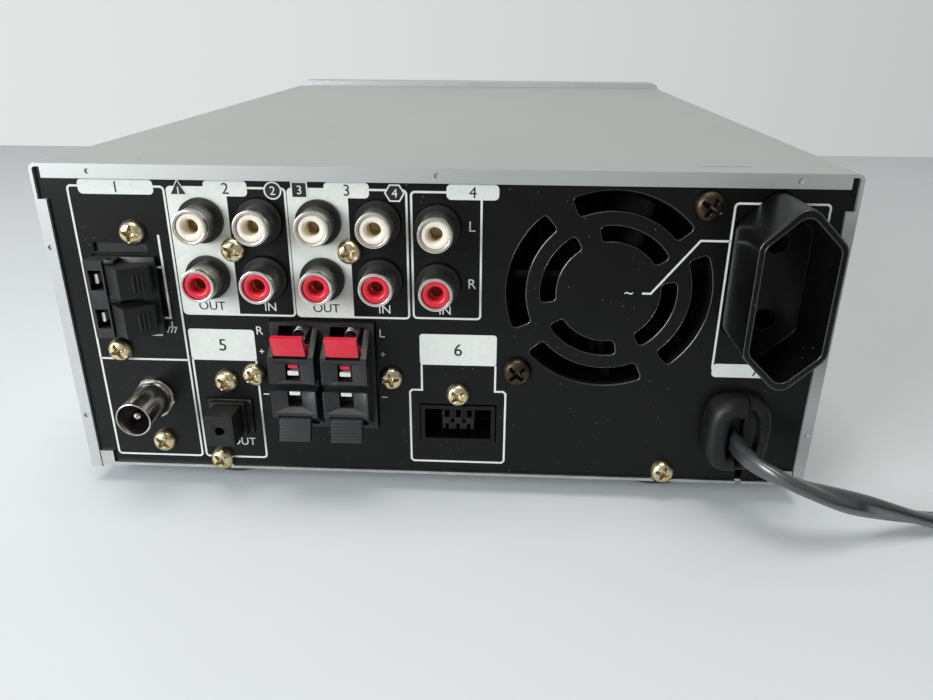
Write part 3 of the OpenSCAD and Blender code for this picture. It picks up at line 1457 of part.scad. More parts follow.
// Tray with the disc recess, a slot for the turntable and a rack below its left arm
module tray() {
    deep = 3;
    small_d = 81;
    small_deep = 1.5;
    slot_half = 20;
    y0 = face_y + lid_t;
    y1 = deck_y1 - 6;
    pitch = PI * tray_module;
    first = -2;
    last = ceil(tray_travel / pitch) + 1;
    bar_y = [pinion_y + (first - 0.5) * pitch, min(y1, pinion_y + (last + 1.5) * pitch)];
    bar_x = rack_x + 1.25 * tray_module;
    top = lvl(tray_low + tray_t);
    color([0.28, 0.28, 0.29]) {
        difference() {
            block([-tray_half, y0, lvl(tray_low)], [tray_half, y1, top]);
            rod_z(0, disc_y, disc_d / 2, top - deep, top + 1, $fn = 128);
            rod_z(0, disc_y, small_d / 2, top - deep - small_deep, top + 1, $fn = 96);
            rod_z(0, disc_y, slot_half, lvl(tray_low) - 1, top + 1);
            block([-slot_half, disc_y, lvl(tray_low) - 1], [slot_half, y1 + 1, top + 1]);
        }
        block([bar_x, bar_y[0], lvl(tray_low - rack_h)], [bar_x + 4, bar_y[1], lvl(tray_low)]);
        for (k = [first:last]) translate([rack_x, pinion_y + (k + 0.5) * pitch, lvl(tray_low - rack_h)])
            linear_extrude(rack_h) polygon(rack_tooth(tray_module) * [[-1, 0], [0, 1]]);
    }
}
module tray_lid() {
    color("gainsboro") block([-lid_half, face_y, lvl(lid_low)],
        [lid_half, face_y + lid_t, lvl(lid_low + lid_h)]);
}
module tray_gear() {
    low = tray_low - rack_h + gap;
    color("white") {
        translate([pinion_x, pinion_y, lvl(low)]) linear_extrude(rack_h - 2 * gap)
            polygon(gear_outline(tray_module, tray_teeth));
        rod_z(pinion_x, pinion_y, loader_r, lvl(loader_top - 9), lvl(low + 1));
    }
}
// Pickup sled on its two rails, with the lens turret and a side rack
module pickup_sled() {
    lens_r = 2.2;
    turret_r = 8;
    turret_h = 2.2;
    lens_y = sled_y + 10;
    pitch = PI * sled_module;
    teeth = ceil(sled_travel / pitch) + 2;
    bar = [sled_half - 1, sled_rack_x];
    bar_y = [sled_gear_y - (teeth + 0.5) * pitch, sled_gear_y + 2.5 * pitch];
    color([0.25, 0.25, 0.26]) difference() {
        union() {
            block([-sled_half, sled_y, lvl(sled_low)], [sled_half, sled_y + sled_len, lvl(sled_high)]);
            rod_z(0, lens_y, turret_r, lvl(sled_high - 1), lvl(sled_high + turret_h));
            block([bar[0], bar_y[0], lvl(sled_gear_low)],
                [bar[1], bar_y[1], lvl(sled_gear_low + sled_gear_t)]);
            for (k = [-teeth:1]) translate([sled_gear_x - sled_pitch_r, sled_gear_y + (k + 0.5) * pitch,
                lvl(sled_gear_low)])
                linear_extrude(sled_gear_t) polygon(rack_tooth(sled_module));
        }
        both_sides() rod_y(rail_x, lvl(rail_h), rail_d / 2 + run_gap, sled_y - 1, sled_y + sled_len + 1);
        rod_z(0, lens_y, lens_r + gap, lvl(sled_high), lvl(sled_high + turret_h + 1));
    }
    color("lightblue") rod_z(0, lens_y, lens_r, lvl(sled_high), lvl(sled_high + turret_h));
}
module sled_gear() {
    color("white") {
        translate([sled_gear_x, sled_gear_y, lvl(sled_gear_low)]) linear_extrude(sled_gear_t)
            polygon(gear_outline(sled_module, sled_teeth));
        rod_z(sled_gear_x, sled_gear_y, sled_shaft_r, lvl(sled_drive_top - 3.5), lvl(sled_gear_low + 1));
    }
}

chassis_base();
top_cover();
rear_panel();
front_panel();
display_window();
feet();
rear_screws();
dark_screws();
front_board();
headphone_jack();
line_jack_blocks();
line_jack_shells();
white_inserts();
red_inserts();
antenna_terminal();
upper_antenna_lever();
lower_antenna_lever();
coax_connector();
coax_insulator();
tuner_pack();
optical_jack();
dust_cap();
speaker_terminal();
terminal_contacts();
left_red_lever();
right_red_lever();
left_black_lever();
right_black_lever();
left_lever_spring();
right_lever_spring();
system_socket();
outlet_body();
outlet_contacts();
strain_relief();
power_cord();
cord_coil();
cord_tie();
mains_plug();
fan_frame();
fan_rotor();
heat_sink();
power_transformer();
main_board();
cd_deck();
deck_motors();
sled_rails();
clamp_bridge();
tray();
tray_lid();
tray_gear();
turntable();
disc_clamp();
pickup_sled();
sled_gear();
volume_knob();
power_button();
eject_button();
play_button();
stop_button();
source_button();
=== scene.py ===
"""CD receiver seen from behind: its finishes, panel print, cord and small mouldings.

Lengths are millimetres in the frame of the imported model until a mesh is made. The rear panel faces
+Y, the front -Y, and the floor is at Z 0. A height is measured from the chassis underside.
"""
from __future__ import annotations

import json
import logging
import math
from dataclasses import dataclass, field
from enum import Enum

import bmesh
import bpy
import numpy as np
from mathutils import Matrix, Vector

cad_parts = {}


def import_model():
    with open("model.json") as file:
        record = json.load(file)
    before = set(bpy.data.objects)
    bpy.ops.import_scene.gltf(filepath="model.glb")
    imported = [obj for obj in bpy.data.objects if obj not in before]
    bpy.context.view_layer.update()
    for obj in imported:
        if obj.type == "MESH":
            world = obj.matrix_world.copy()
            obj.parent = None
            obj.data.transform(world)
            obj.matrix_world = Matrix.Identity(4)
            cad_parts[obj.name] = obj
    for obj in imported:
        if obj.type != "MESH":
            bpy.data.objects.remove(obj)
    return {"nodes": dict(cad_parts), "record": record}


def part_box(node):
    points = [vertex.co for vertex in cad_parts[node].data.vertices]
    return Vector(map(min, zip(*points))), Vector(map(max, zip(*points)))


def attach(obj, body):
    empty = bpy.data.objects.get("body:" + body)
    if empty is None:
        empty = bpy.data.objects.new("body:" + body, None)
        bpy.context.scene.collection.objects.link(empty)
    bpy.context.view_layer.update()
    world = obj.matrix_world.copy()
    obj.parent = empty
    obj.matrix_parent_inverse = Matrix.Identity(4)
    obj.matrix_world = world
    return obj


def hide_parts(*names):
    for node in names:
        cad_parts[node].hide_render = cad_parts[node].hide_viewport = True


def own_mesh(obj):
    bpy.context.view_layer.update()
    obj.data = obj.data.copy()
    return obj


# Short names of types: numbers in a plane and in space, and what Blender's tree, socket and object are.
Pair = tuple[float, float]
Triple = tuple[float, float, float]
Tree = bpy.types.NodeTree
Socket = bpy.types.NodeSocket
Thing = bpy.types.Object

LOG = logging.getLogger("cd_receiver")
MM = 0.001
CASE = "case"
# Angle in degrees above which an edge between two faces stays crisp.
CRISP = 38.0
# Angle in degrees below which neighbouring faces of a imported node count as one.
FLAT = 0.6
# Distance in metres within which doubled points are merged.
WELD = 2e-6
# Length in metres below which an edge is taken out.
SLIVER = 1e-7


# Colour and node helpers


def to_linear(code: str) -> tuple[float, float, float, float]:
    """Turn an sRGB hex value into linear light.

    Args:
        code: Six hex digits after a hash sign.

    Returns:
        Linear red, green, blue and an alpha of one.
    """
    srgb = np.array([int(code[i : i + 2], 16) for i in (1, 3, 5)]) / 255
    light = np.where(srgb <= 0.04045, srgb / 12.92, ((srgb + 0.055) / 1.055) ** 2.4)
    return (float(light[0]), float(light[1]), float(light[2]), 1.0)


def add_node(tree: Tree, kind: str, inputs: dict | None = None, **settings: object) -> bpy.types.Node:
    """Add one node with its settings, and link or fill its inputs.

    Args:
        tree: Node tree to add to.
        kind: Blender's type name of the node.
        inputs: Socket name or number to a value, or to an output socket that is linked to it.
        settings: Properties of the node itself.

    Returns:
        The new node.
    """
    node = tree.nodes.new(kind)
    for key, value in settings.items():
        setattr(node, key, value)
    for key, value in (inputs or {}).items():
        if isinstance(value, Socket):
            tree.links.new(value, node.inputs[key])
        else:
            node.inputs[key].default_value = value
    return node


# Finishes


@dataclass(frozen=True)
class Grain:
    """Fine relief: its size and height in millimetres, and how far it is drawn out along X, Y and Z.

    A relief that is too fine to show is drawn as coarse as it needs to show.
    """

    size: float
    height: float
    stretch: Triple = (1.0, 1.0, 1.0)


@dataclass(frozen=True)
class Mottle:
    """Slow change of colour: its size in millimetres and the second colour."""

    size: float
    colour: str


@dataclass(frozen=True)
class Dust:
    """Dust: spacing and size of its specks in millimetres, film on upward faces, colour, roughness."""

    spacing: float
    speck: float
    film: float = 0.0
    colour: str = "#b9b6ad"
    roughness: float = 0.9


@dataclass(frozen=True)
class Finish:
    """A real material and how its surface was made."""

    name: str
    slot: str
    colour: str
    roughness: float
    metallic: float = 0.0
    ior: float = 1.5
    spread: float = 0.06
    grain: Grain | None = None
    mottle: Mottle | None = None
    dust: Dust | None = None
    coat: float = 0.0
    coat_rough: float = 0.03
    transmission: float = 0.0
    specular: float = 0.5

    def material(self) -> bpy.types.Material:
        """Return the material of this finish, made on first use."""
        found = bpy.data.materials.get(self.name)
        return found if found else self.build()

    def build(self) -> bpy.types.Material:
        """Make the node tree: colour, roughness and relief over one principled shader.

        Returns:
            The new material.
        """
        made = bpy.data.materials.new(self.name)
        made.use_nodes = True
        tree = made.node_tree
        tree.nodes.clear()
        fixed = {
            "Metallic": self.metallic,
            "IOR": self.ior,
            "Coat Weight": self.coat,
            "Coat Roughness": self.coat_rough,
            "Transmission Weight": self.transmission,
            "Specular IOR Level": self.specular,
        }
        shader = add_node(tree, "ShaderNodeBsdfPrincipled", fixed)
        add_node(tree, "ShaderNodeOutputMaterial", {"Surface": shader.outputs["BSDF"]})
        where = add_node(tree, "ShaderNodeTexCoord").outputs["Object"]
        made.diffuse_color = to_linear(self.colour)
        self.layers(tree, shader, where)
        return made

    def layers(self, tree: Tree, shader: bpy.types.Node, where: Socket) -> None:
        """Add mottle, dust and grain to the shader.

        Args:
            tree: The material's node tree.
            shader: Its principled shader.
            where: Object coordinates in metres.
        """
        colour = self.mottled(tree, where)
        rough = self.roughened(tree, where)
        if self.dust:
            specks = self.dust_mask(tree, where)
            colour = add_node(
                tree,
                "ShaderNodeMix",
                {0: specks, 6: colour, 7: to_linear(self.dust.colour)},
                data_type="RGBA",
            ).outputs[2]
            dull = self.dust.roughness
            rough = add_node(tree, "ShaderNodeMix", {0: specks, 2: rough, 3: dull}).outputs[0]
        tree.links.new(colour, shader.inputs["Base Color"])
        tree.links.new(rough, shader.inputs["Roughness"])
        if self.grain:
            relief = self.noise(tree, where, self.grain.size, 3.0, self.grain.stretch)
            bump = add_node(
                tree,
                "ShaderNodeBump",
                {"Strength": 1.0, "Distance": self.grain.height * MM, "Height": relief},
            )
            tree.links.new(bump.outputs["Normal"], shader.inputs["Normal"])

    @staticmethod
    def noise(
        tree: Tree, where: Socket, size: float, detail: float, stretch: Triple = (1.0, 1.0, 1.0)
    ) -> Socket:
        """Noise whose features are `size` millimetres wide, drawn out by `stretch`.

        Args:
            tree: The material's node tree.
            where: Coordinates in metres.
            size: Feature width in millimetres.
            detail: Octaves of finer noise.
            stretch: How many times longer the features are along each axis.

        Returns:
            The noise value, about 0 to 1.
        """
        scale = tuple(1 / (size * MM * s) for s in stretch)
        spot = add_node(tree, "ShaderNodeMapping", {"Vector": where, "Scale": scale})
        cloud = add_node(
            tree,
            "ShaderNodeTexNoise",
            {"Vector": spot.outputs["Vector"], "Scale": 1.0, "Detail": detail, "Roughness": 0.6},
        )
        return cloud.outputs[0]

    def share(self, tree: Tree, where: Socket) -> Socket:
        """Return how near each point is to the second shade: a slow drift from nought to one.

        Args:
            tree: The material's node tree.
            where: Object coordinates in metres.

        Returns:
            The share, nought to one.
        """
        drift = self.noise(tree, where, self.mottle.size if self.mottle else 18.0, 4.0)
        span = add_node(
            tree, "ShaderNodeMapRange", {"Value": drift, "From Min": 0.35, "From Max": 0.65}
        )
        return span.outputs["Result"]

    def mottled(self, tree: Tree, where: Socket) -> Socket:
        """Return the colour between the two shades of the finish, by its share.

        Args:
            tree: The material's node tree.
            where: Object coordinates in metres.

        Returns:
            The colour.
        """
        second = self.mottle.colour if self.mottle else self.colour
        blend = add_node(
            tree,
            "ShaderNodeMix",
            {0: self.share(tree, where), 6: to_linear(self.colour), 7: to_linear(second)},
            data_type="RGBA",
        )
        return blend.outputs[2]

    def roughened(self, tree: Tree, where: Socket) -> Socket:
        """Roughness that wanders by `spread`, as handling and moulding leave it.

        Args:
            tree: The material's node tree.
            where: Object coordinates in metres.

        Returns:
            The roughness.
        """
        smear = self.noise(tree, where, 7.0, 5.0)
        span = add_node(
            tree,
            "ShaderNodeMapRange",
            {
                "Value": smear,
                "From Min": 0.3,
                "From Max": 0.7,
                "To Min": self.roughness - self.spread,
                "To Max": self.roughness + self.spread,
            },
        )
        return span.outputs["Result"]

    def dust_mask(self, tree: Tree, where: Socket) -> Socket:
        """Mask of dust: round specks at random cells, and a thin film where the surface looks up.

        Args:
            tree: The material's node tree.
            where: Object coordinates in metres.

        Returns:
            The mask, nought where the surface is clean.
        """
        dust = self.dust
        cells = add_node(
            tree,
            "ShaderNodeTexVoronoi",
            {"Vector": where, "Scale": 1 / (dust.spacing * MM)},
        )
        near = dust.speck / dust.spacing
        speck = add_node(
            tree,
            "ShaderNodeMapRange",
            {"Value": cells.outputs["Distance"], "From Min": near, "From Max": near * 0.55},
        )
        thin = self.noise(tree, where, dust.spacing * 6, 2.0)
        patchy = add_node(tree, "ShaderNodeMapRange", {"Value": thin, "From Min": 0.46, "From Max": 0.6})
        spread = add_node(
            tree,
            "ShaderNodeMath",
            {0: speck.outputs["Result"], 1: patchy.outputs["Result"]},
            operation="MULTIPLY",
        )
        facing = add_node(tree, "ShaderNodeNewGeometry").outputs["Normal"]
        upward = add_node(tree, "ShaderNodeSeparateXYZ", {0: facing})
        film = add_node(
            tree,
            "ShaderNodeMapRange",
            {"Value": upward.outputs["Z"], "From Min": 0.3, "From Max": 1.0, "To Max": dust.film},
        )
        both = add_node(
            tree,
            "ShaderNodeMath",
            {0: spread.outputs[0], 1: film.outputs["Result"]},
            operation="MAXIMUM",
        )
        return both.outputs[0]


@dataclass(frozen=True)
class StackedSheet(Finish):
    """Iron laminations: thin dark lines between sheets of one pitch in millimetres."""

    pitch: float = 0.5

    def share(self, tree: Tree, where: Socket) -> Socket:
        """Return bands along Y, one to each sheet.

        Args:
            tree: The material's node tree.
            where: Object coordinates in metres.

        Returns:
            The share, nought to one.
        """
        bands = add_node(
            tree,
            "ShaderNodeTexWave",
            {"Vector": where, "Scale": 2 * math.pi / (20 * self.pitch * MM), "Distortion": 0.2},
            bands_direction="Y",
        )
        return bands.outputs["Fac"]


@dataclass(frozen=True)
class PrintedBoard(Finish):
    """Glass epoxy board under green lacquer: copper tracks show as paler squared paths."""

    track: float = 3.0

    def share(self, tree: Tree, where: Socket) -> Socket:
        """Return paler cells with squared borders, which stand for tracks and pours.

        Args:
            tree: The material's node tree.
            where: Object coordinates in metres.

        Returns:
            The share, nought to one.
        """
        cells = add_node(
            tree,
            "ShaderNodeTexVoronoi",
            {"Vector": where, "Scale": 1 / (self.track * MM)},
            distance="CHEBYCHEV",
            feature="F2",
        )
        lanes = add_node(
            tree,
            "ShaderNodeMapRange",
            {"Value": cells.outputs["Distance"], "From Min": 0.52, "From Max": 0.6},
        )
        return lanes.outputs["Result"]


# Baked silver paint on folded steel: satin, with a fine flake and a faint drift in tone.
COVER_PAINT = Finish(
    "silver_baked_paint", "cover_paint", "#b5b9b8", 0.46, 0.62, spread=0.015,
    grain=Grain(0.5, 0.004), mottle=Mottle(60.0, "#b2b6b5"), dust=Dust(9.0, 0.35, 0.03),
)
# Electro-galvanised steel: bright grey with a fine drawn grain.
PLATED_STEEL = Finish(
    "galvanised_steel", "plated_steel", "#c3c6c4", 0.34, 1.0,
    grain=Grain(0.3, 0.003, (12.0, 1.0, 1.0)), mottle=Mottle(6.0, "#aeb1ae"),
)
# Black epoxy powder coat: satin with a slight orange peel, and the dust of years on it.
BLACK_PAINT = Finish(
    "black_powder_coat", "black_paint", "#060607", 0.4, specular=0.1, spread=0.03, coat=0.26,
    coat_rough=0.3, grain=Grain(0.7, 0.006), mottle=Mottle(12.0, "#09090a"), dust=Dust(1.7, 0.1, 0.12),
)
# Silver painted ABS moulding of the front: smoother than the cover.
FRONT_PLASTIC = Finish(
    "silver_painted_abs", "front_plastic", "#b7bbbb", 0.38, 0.4,
    grain=Grain(0.4, 0.003), mottle=Mottle(50.0, "#b1b5b5"),
)
# Smoked acrylic: a dark see-through sheet with a clear gloss.
SMOKED_WINDOW = Finish(
    "smoked_acrylic", "smoked_window", "#4a4f52", 0.06, 0.0, 1.49, 0.02, transmission=0.9,
    grain=Grain(30.0, 0.01),
)
# Moulded rubber foot: dull and a little chalky.
FOOT_RUBBER = Finish(
    "foot_rubber", "foot_rubber", "#1a1a1a", 0.82, 0.0, 1.52,
    grain=Grain(0.5, 0.03), mottle=Mottle(3.0, "#232221"),
)
# Yellow chromated zinc on the screws: warm metal with a faint drift of hue.
YELLOW_ZINC = Finish(
    "yellow_chromated_zinc", "yellow_zinc", "#d8caa0", 0.26, 1.0,
    grain=Grain(0.4, 0.004), mottle=Mottle(1.8, "#c8c0a8"),
)
# Brown burnished steel of the fan and cover screws. On the outlet's contacts, which are brass, its dark
# brown is painted shade of the holes they sit in.
BROWN_STEEL_AND_SHADE = Finish(
    "burnished_steel_and_shade", "brown_steel", "#4c4338", 0.36, 1.0,
    grain=Grain(0.3, 0.008), mottle=Mottle(1.8, "#38322a"),
)
# Glass epoxy board under green lacquer.
CIRCUIT_BOARD = PrintedBoard(
    "lacquered_board", "circuit_board", "#2c5a3c", 0.4, mottle=Mottle(3.0, "#3a6f4a"),
    grain=Grain(0.8, 0.01),
)
# Black ABS with a spark-eroded grain.
BLACK_PLASTIC = Finish(
    "black_abs", "black_plastic", "#0d0d0e", 0.44, 0.0, 1.53, specular=0.32,
    grain=Grain(0.35, 0.012), mottle=Mottle(5.0, "#111111"), dust=Dust(2.0, 0.11, 0.02),
)
# Polished black ABS of the outlet and the system socket, a little dull from handling.
GLOSS_PLASTIC = Finish(
    "polished_black_abs", "black_plastic", "#070708", 0.3, 0.0, 1.53, specular=0.1, coat=0.26,
    coat_rough=0.2, grain=Grain(0.8, 0.004), mottle=Mottle(6.0, "#0b0b0c"), dust=Dust(2.2, 0.11),
)
# Dark glossy beads laid on black edges of paint and plastic: their polish draws painted highlight lines
# where the edges catch the light, not wear.
HIGHLIGHT_EDGE = Finish(
    "highlight_edge_gloss", "black_paint", "#0b0c0d", 0.22, 0.0, 1.53, specular=0.8, coat=0.8, coat_rough=0.08,
    grain=Grain(0.5, 0.002), mottle=Mottle(3.0, "#101112"),
)
# Dark grey ABS of the push terminals, semi-gloss from the mould.
TERMINAL_PLASTIC = Finish(
    "dark_grey_abs", "black_plastic", "#17191b", 0.36, 0.0, 1.53, specular=0.42,
    grain=Grain(0.4, 0.008), mottle=Mottle(5.0, "#1c1f21"), dust=Dust(2.0, 0.11, 0.02),
)
# Black filled nylon of the fan, made darker and duller than the nylon is: painted shade of the case's
# inside behind the slots.
FAN_SHADED_NYLON = Finish(
    "fan_nylon_painted_shade", "black_plastic", "#040404", 0.6, 0.0, 1.53, specular=0.06,
    grain=Grain(0.5, 0.01), mottle=Mottle(6.0, "#060606"),
)
# Brown phenolic of the aerial insulator.
PHENOLIC = Finish(
    "brown_phenolic", "white_plastic", "#2e2521", 0.5, 0.0, 1.55,
    grain=Grain(0.3, 0.008), mottle=Mottle(1.5, "#372c27"),
)
# Grey ABS of the drive and tray.
GREY_PLASTIC = Finish(
    "grey_abs", "grey_plastic", "#3d3f41", 0.5, 0.0, 1.53,
    grain=Grain(0.4, 0.012), mottle=Mottle(8.0, "#434547"),
)
# Bright nickel plate on the jack shells: smooth enough to mirror the panel round it.
NICKEL = Finish(
    "nickel_plate", "nickel", "#dedbd4", 0.27, 1.0, spread=0.05,
    grain=Grain(0.4, 0.0012), mottle=Mottle(2.0, "#cbc8c0"),
)
# Chromium plate of the aerial connector: smoother and darker than nickel.
CHROME = Finish(
    "chromium_plate", "nickel", "#b9b4b0", 0.22, 1.0,
    grain=Grain(0.4, 0.002), mottle=Mottle(3.0, "#aaa5a1"), spread=0.04,
)
# Bright tinned strip of the wire contacts.
TINNED_STRIP = Finish(
    "tinned_bronze_strip", "nickel", "#f0efec", 0.36, 0.6,
    grain=Grain(0.3, 0.003), mottle=Mottle(1.5, "#e4e2de"),
)
# Ivory nylon of the jack inserts: slightly waxy.
IVORY_PLASTIC = Finish(
    "ivory_nylon", "ivory_plastic", "#efe6d9", 0.42, 0.0, 1.53,
    grain=Grain(0.3, 0.006), mottle=Mottle(2.5, "#e6dccd"),
)
# Red ABS of the inserts and the speaker tabs: smooth and glossy.
RED_PLASTIC = Finish(
    "red_abs", "red_plastic", "#cc1f37", 0.3, 0.0, 1.53,
    grain=Grain(0.5, 0.004), mottle=Mottle(4.0, "#d3263c"),
)
# White ABS of the drive's gears: plain and half matt.
WHITE_PLASTIC = Finish(
    "white_abs", "white_plastic", "#e6e8e4", 0.45, 0.0, 1.53,
    grain=Grain(0.4, 0.006), mottle=Mottle(3.0, "#dfe1dd"),
)
# Pale screen ink: matt, a little thin where the mesh of the screen was.
PANEL_INK = Finish(
    "pale_screen_ink", "white_plastic", "#d9ded9", 0.55, 0.0, 1.5,
    grain=Grain(0.25, 0.006), mottle=Mottle(1.2, "#d1d6d1"), dust=Dust(2.4, 0.14, 0.0, "#8d8f8a"),
)
# Black screen ink over the pale plates.
DARK_INK = Finish(
    "black_screen_ink", "black_paint", "#181919", 0.5, 0.0, 1.5, mottle=Mottle(1.0, "#1f2020"),
    grain=Grain(0.25, 0.004), specular=0.3,
)
# Brass of contacts and pins.
BRASS = Finish(
    "plated_brass", "brass", "#c9b27a", 0.28, 1.0,
    grain=Grain(0.3, 0.004), mottle=Mottle(2.0, "#b79f6a"),
)
# Soft PVC sheath of the lead and plug: dark grey, with the sheen of its extrusion.
CORD_RUBBER = Finish(
    "pvc_sheath", "cord_rubber", "#2d2f33", 0.34, 0.0, 1.53, specular=0.8, spread=0.03, coat=0.8,
    coat_rough=0.2, grain=Grain(0.6, 0.003), mottle=Mottle(14.0, "#2a2c30"), dust=Dust(5.0, 0.14, 0.02),
)
# Spring wire: drawn and bright.
SPRING_STEEL = Finish(
    "spring_wire", "spring_steel", "#8d8e8c", 0.26, 1.0,
    grain=Grain(0.2, 0.003), mottle=Mottle(1.0, "#7b7c7a"),
)
# Transformer iron: stacked sheets with dark seams, drawn at twice their pitch so that they show.
IRON_CORE = StackedSheet(
    "iron_laminations", "iron_core", "#6d6c69", 0.5, 0.9, mottle=Mottle(3.0, "#4a4947"),
    grain=Grain(0.4, 0.01), pitch=1.0,
)
# Extruded aluminium of the heat sink, anodised black.
FIN_ALUMINIUM = Finish(
    "black_anodised_aluminium", "fin_aluminium", "#161718", 0.46, 0.3,
    grain=Grain(0.3, 0.006, (1.0, 1.0, 14.0)), mottle=Mottle(8.0, "#1a1b1c"), specular=0.2,
)
# Turned steel of the motor cans.
MOTOR_STEEL = Finish(
    "turned_steel", "motor_steel", "#b1b2b0", 0.3, 1.0,
    grain=Grain(0.25, 0.003, (1.0, 1.0, 8.0)), mottle=Mottle(3.0, "#a1a2a0"),
)
# Turned aluminium of the knob and keys.
KNOB_METAL = Finish(
    "turned_aluminium", "knob_metal", "#c2c4c4", 0.34, 1.0, spread=0.012,
    grain=Grain(0.2, 0.002), mottle=Mottle(14.0, "#bec0c0"),
)
# White laminate of the table top: satin and even.
TABLE_LAMINATE = Finish(
    "white_laminate", "white_plastic", "#dde2e5", 0.5, 0.0, 1.5,
    grain=Grain(3.0, 0.01), mottle=Mottle(300.0, "#d9dee1"),
)


# Surfaces


@dataclass
class Patch:
    """Points in millimetres and the faces between them."""

    points: np.ndarray
    faces: list[list[int]]


def skin(
    points: np.ndarray, closed_rows: bool = False, closed_columns: bool = True, caps: bool = True
) -> Patch:
    """Join a grid of points into quads, row to row.

    Args:
        points: Array of rows, columns and three coordinates in millimetres.
        closed_rows: Whether the last row joins the first.
        closed_columns: Whether the last column joins the first.
        caps: Whether the first and last rows are filled by a face each.

    Returns:
        The patch of the grid.
    """
    rows, columns = points.shape[:2]
    row = np.arange(rows if closed_rows else rows - 1)
    column = np.arange(columns if closed_columns else columns - 1)
    i, j = np.meshgrid(row, column, indexing="ij")
    i2 = (i + 1) % rows
    j2 = (j + 1) % columns
    corners = [i * columns + j, i * columns + j2, i2 * columns + j2, i2 * columns + j]
    faces = np.stack(corners, axis=-1).reshape(-1, 4).tolist()
    if caps and closed_columns and not closed_rows:
        faces.append(list(range(columns - 1, -1, -1)))
        faces.append(list(range((rows - 1) * columns, rows * columns)))
    return Patch(points.reshape(-1, 3), faces)


class Axis(Enum):
    """Direction that a turned shape or a lofted shape is built along."""

    X = 0
    Y = 1
    Z = 2


def upright(points: np.ndarray, axis: Axis) -> np.ndarray:
    """Turn points built as across, across, along so that "along" lies on the axis.

    Args:
        points: Array that ends in across, across and along.
        axis: Axis to lie along.

    Returns:
        The points as x, y and z.
    """
    order = {Axis.X: (2, 0, 1), Axis.Y: (0, 2, 1), Axis.Z: (0, 1, 2)}[axis]
    return points[..., order]


def circle(steps: int) -> np.ndarray:
    """Return evenly spaced angles of a whole turn."""
    return np.linspace(0, 2 * math.pi, steps, endpoint=False)


def spokes(angle: np.ndarray) -> np.ndarray:
    """Return the unit vectors at some angles, cos then sin."""
    return np.stack([np.cos(angle), np.sin(angle)], axis=-1)


def unit(rows: np.ndarray) -> np.ndarray:
    """Return rows of coordinates scaled to a length of one."""
    return rows / np.linalg.norm(rows, axis=1, keepdims=True)


def ease(share: np.ndarray) -> np.ndarray:
    """Return a share from nought to one that starts and ends gently."""
    return 3 * share**2 - 2 * share**3


def turned(profile: list[Pair], centre: Triple, axis: Axis, steps: int) -> np.ndarray:
    """Turn a profile about an axis: a point is radius times cos and sin of the angle, then its place along.

    Args:
        profile: Radius and place along the axis of each point.
        centre: Point that the axis runs through, where "along" is nought.
        axis: Axis of the turning.
        steps: Points round the circle.

    Returns:
        The grid of points, a row for each point of the profile.
    """
    line = np.array(profile, float)
    across = line[:, :1, None] * spokes(circle(steps))
    along = np.repeat(line[:, 1:], steps, axis=1)[..., None]
    return upright(np.concatenate([across, along], axis=-1), axis) + np.array(centre)


def lathe(profile: list[Pair], centre: Triple, axis: Axis, steps: int = 48) -> Patch:
    """Turn an open profile into a solid, its ends closed by caps or by their points on the axis.

    Args:
        profile: Radius and place along the axis of each point.
        centre: Point that the axis runs through, where "along" is nought.
        axis: Axis of the turning.
        steps: Points round the circle.

    Returns:
        The closed patch.
    """
    return skin(turned(profile, centre, axis, steps), caps=profile[0][0] > 0 and profile[-1][0] > 0)


def rounded_outline(
    wide: float, high: float, corners: float | tuple[float, ...], per_corner: int = 7
) -> np.ndarray:
    """Rectangle about the origin whose corners are quarter circles, anticlockwise.

    Args:
        wide: Full width.
        high: Full height.
        corners: Corner radius, or one for each corner from the upper right one.
        per_corner: Points on each quarter circle.

    Returns:
        Array of points, two coordinates each.
    """
    each = np.broadcast_to(np.array(corners, float), 4).clip(1e-4, min(wide, high) / 2)
    radius = np.repeat(each, per_corner)
    quarter = np.linspace(0, math.pi / 2, per_corner)
    turn = (np.arange(4)[:, None] * math.pi / 2 + quarter).reshape(-1)
    sign_x = np.repeat([1, -1, -1, 1], per_corner)
    sign_y = np.repeat([1, 1, -1, -1], per_corner)
    x = sign_x * (wide / 2 - radius) + radius * np.cos(turn)
    y = sign_y * (high / 2 - radius) + radius * np.sin(turn)
    return np.stack([x, y], axis=-1)


def loft(outlines: list[np.ndarray], along: list[float], centre: Triple, axis: Axis) -> Patch:
    """Carry outlines of equal point count along an axis and close both ends.

    Args:
        outlines: One outline for each station.
        along: Place of each station.
        centre: Point that the stations are measured from.
        axis: Axis of the loft.

    Returns:
        The closed patch.
    """
    flat = np.stack(outlines)
    place = np.repeat(np.array(along, float)[:, None, None], flat.shape[1], axis=1)
    return skin(upright(np.concatenate([flat, place], axis=-1), axis) + np.array(centre))


def pillow(size: Pair, radius: float, span: Pair, edge: float, centre: Triple, axis: Axis) -> Patch:
    """Rounded block: a rounded rectangle whose near and far edges are quarter circles.

    Args:
        size: Full width and height across the axis.
        radius: Corner radius of the outline.
        span: First and last place along the axis.
        edge: Radius of the edge at both ends.
        centre: Point that the shape is measured from.
        axis: Axis of the block.

    Returns:
        The closed patch.
    """
    turn = np.linspace(0, math.pi / 2, 5)
    inset = edge * (1 - np.sin(turn))
    step = edge * (1 - np.cos(turn))
    cuts = np.concatenate([inset, inset[::-1]])
    along = np.concatenate([span[0] + step, span[1] - step[::-1]])
    outlines = [rounded_outline(size[0] - 2 * c, size[1] - 2 * c, radius - c) for c in cuts]
    return loft(outlines, along.tolist(), centre, axis)


def hoop(profile: list[Pair], centre: Triple, steps: int = 48) -> Patch:
    """Turn a closed profile about Y into a ring."""
    return skin(turned(profile, centre, Axis.Y, steps), closed_rows=True, caps=False)


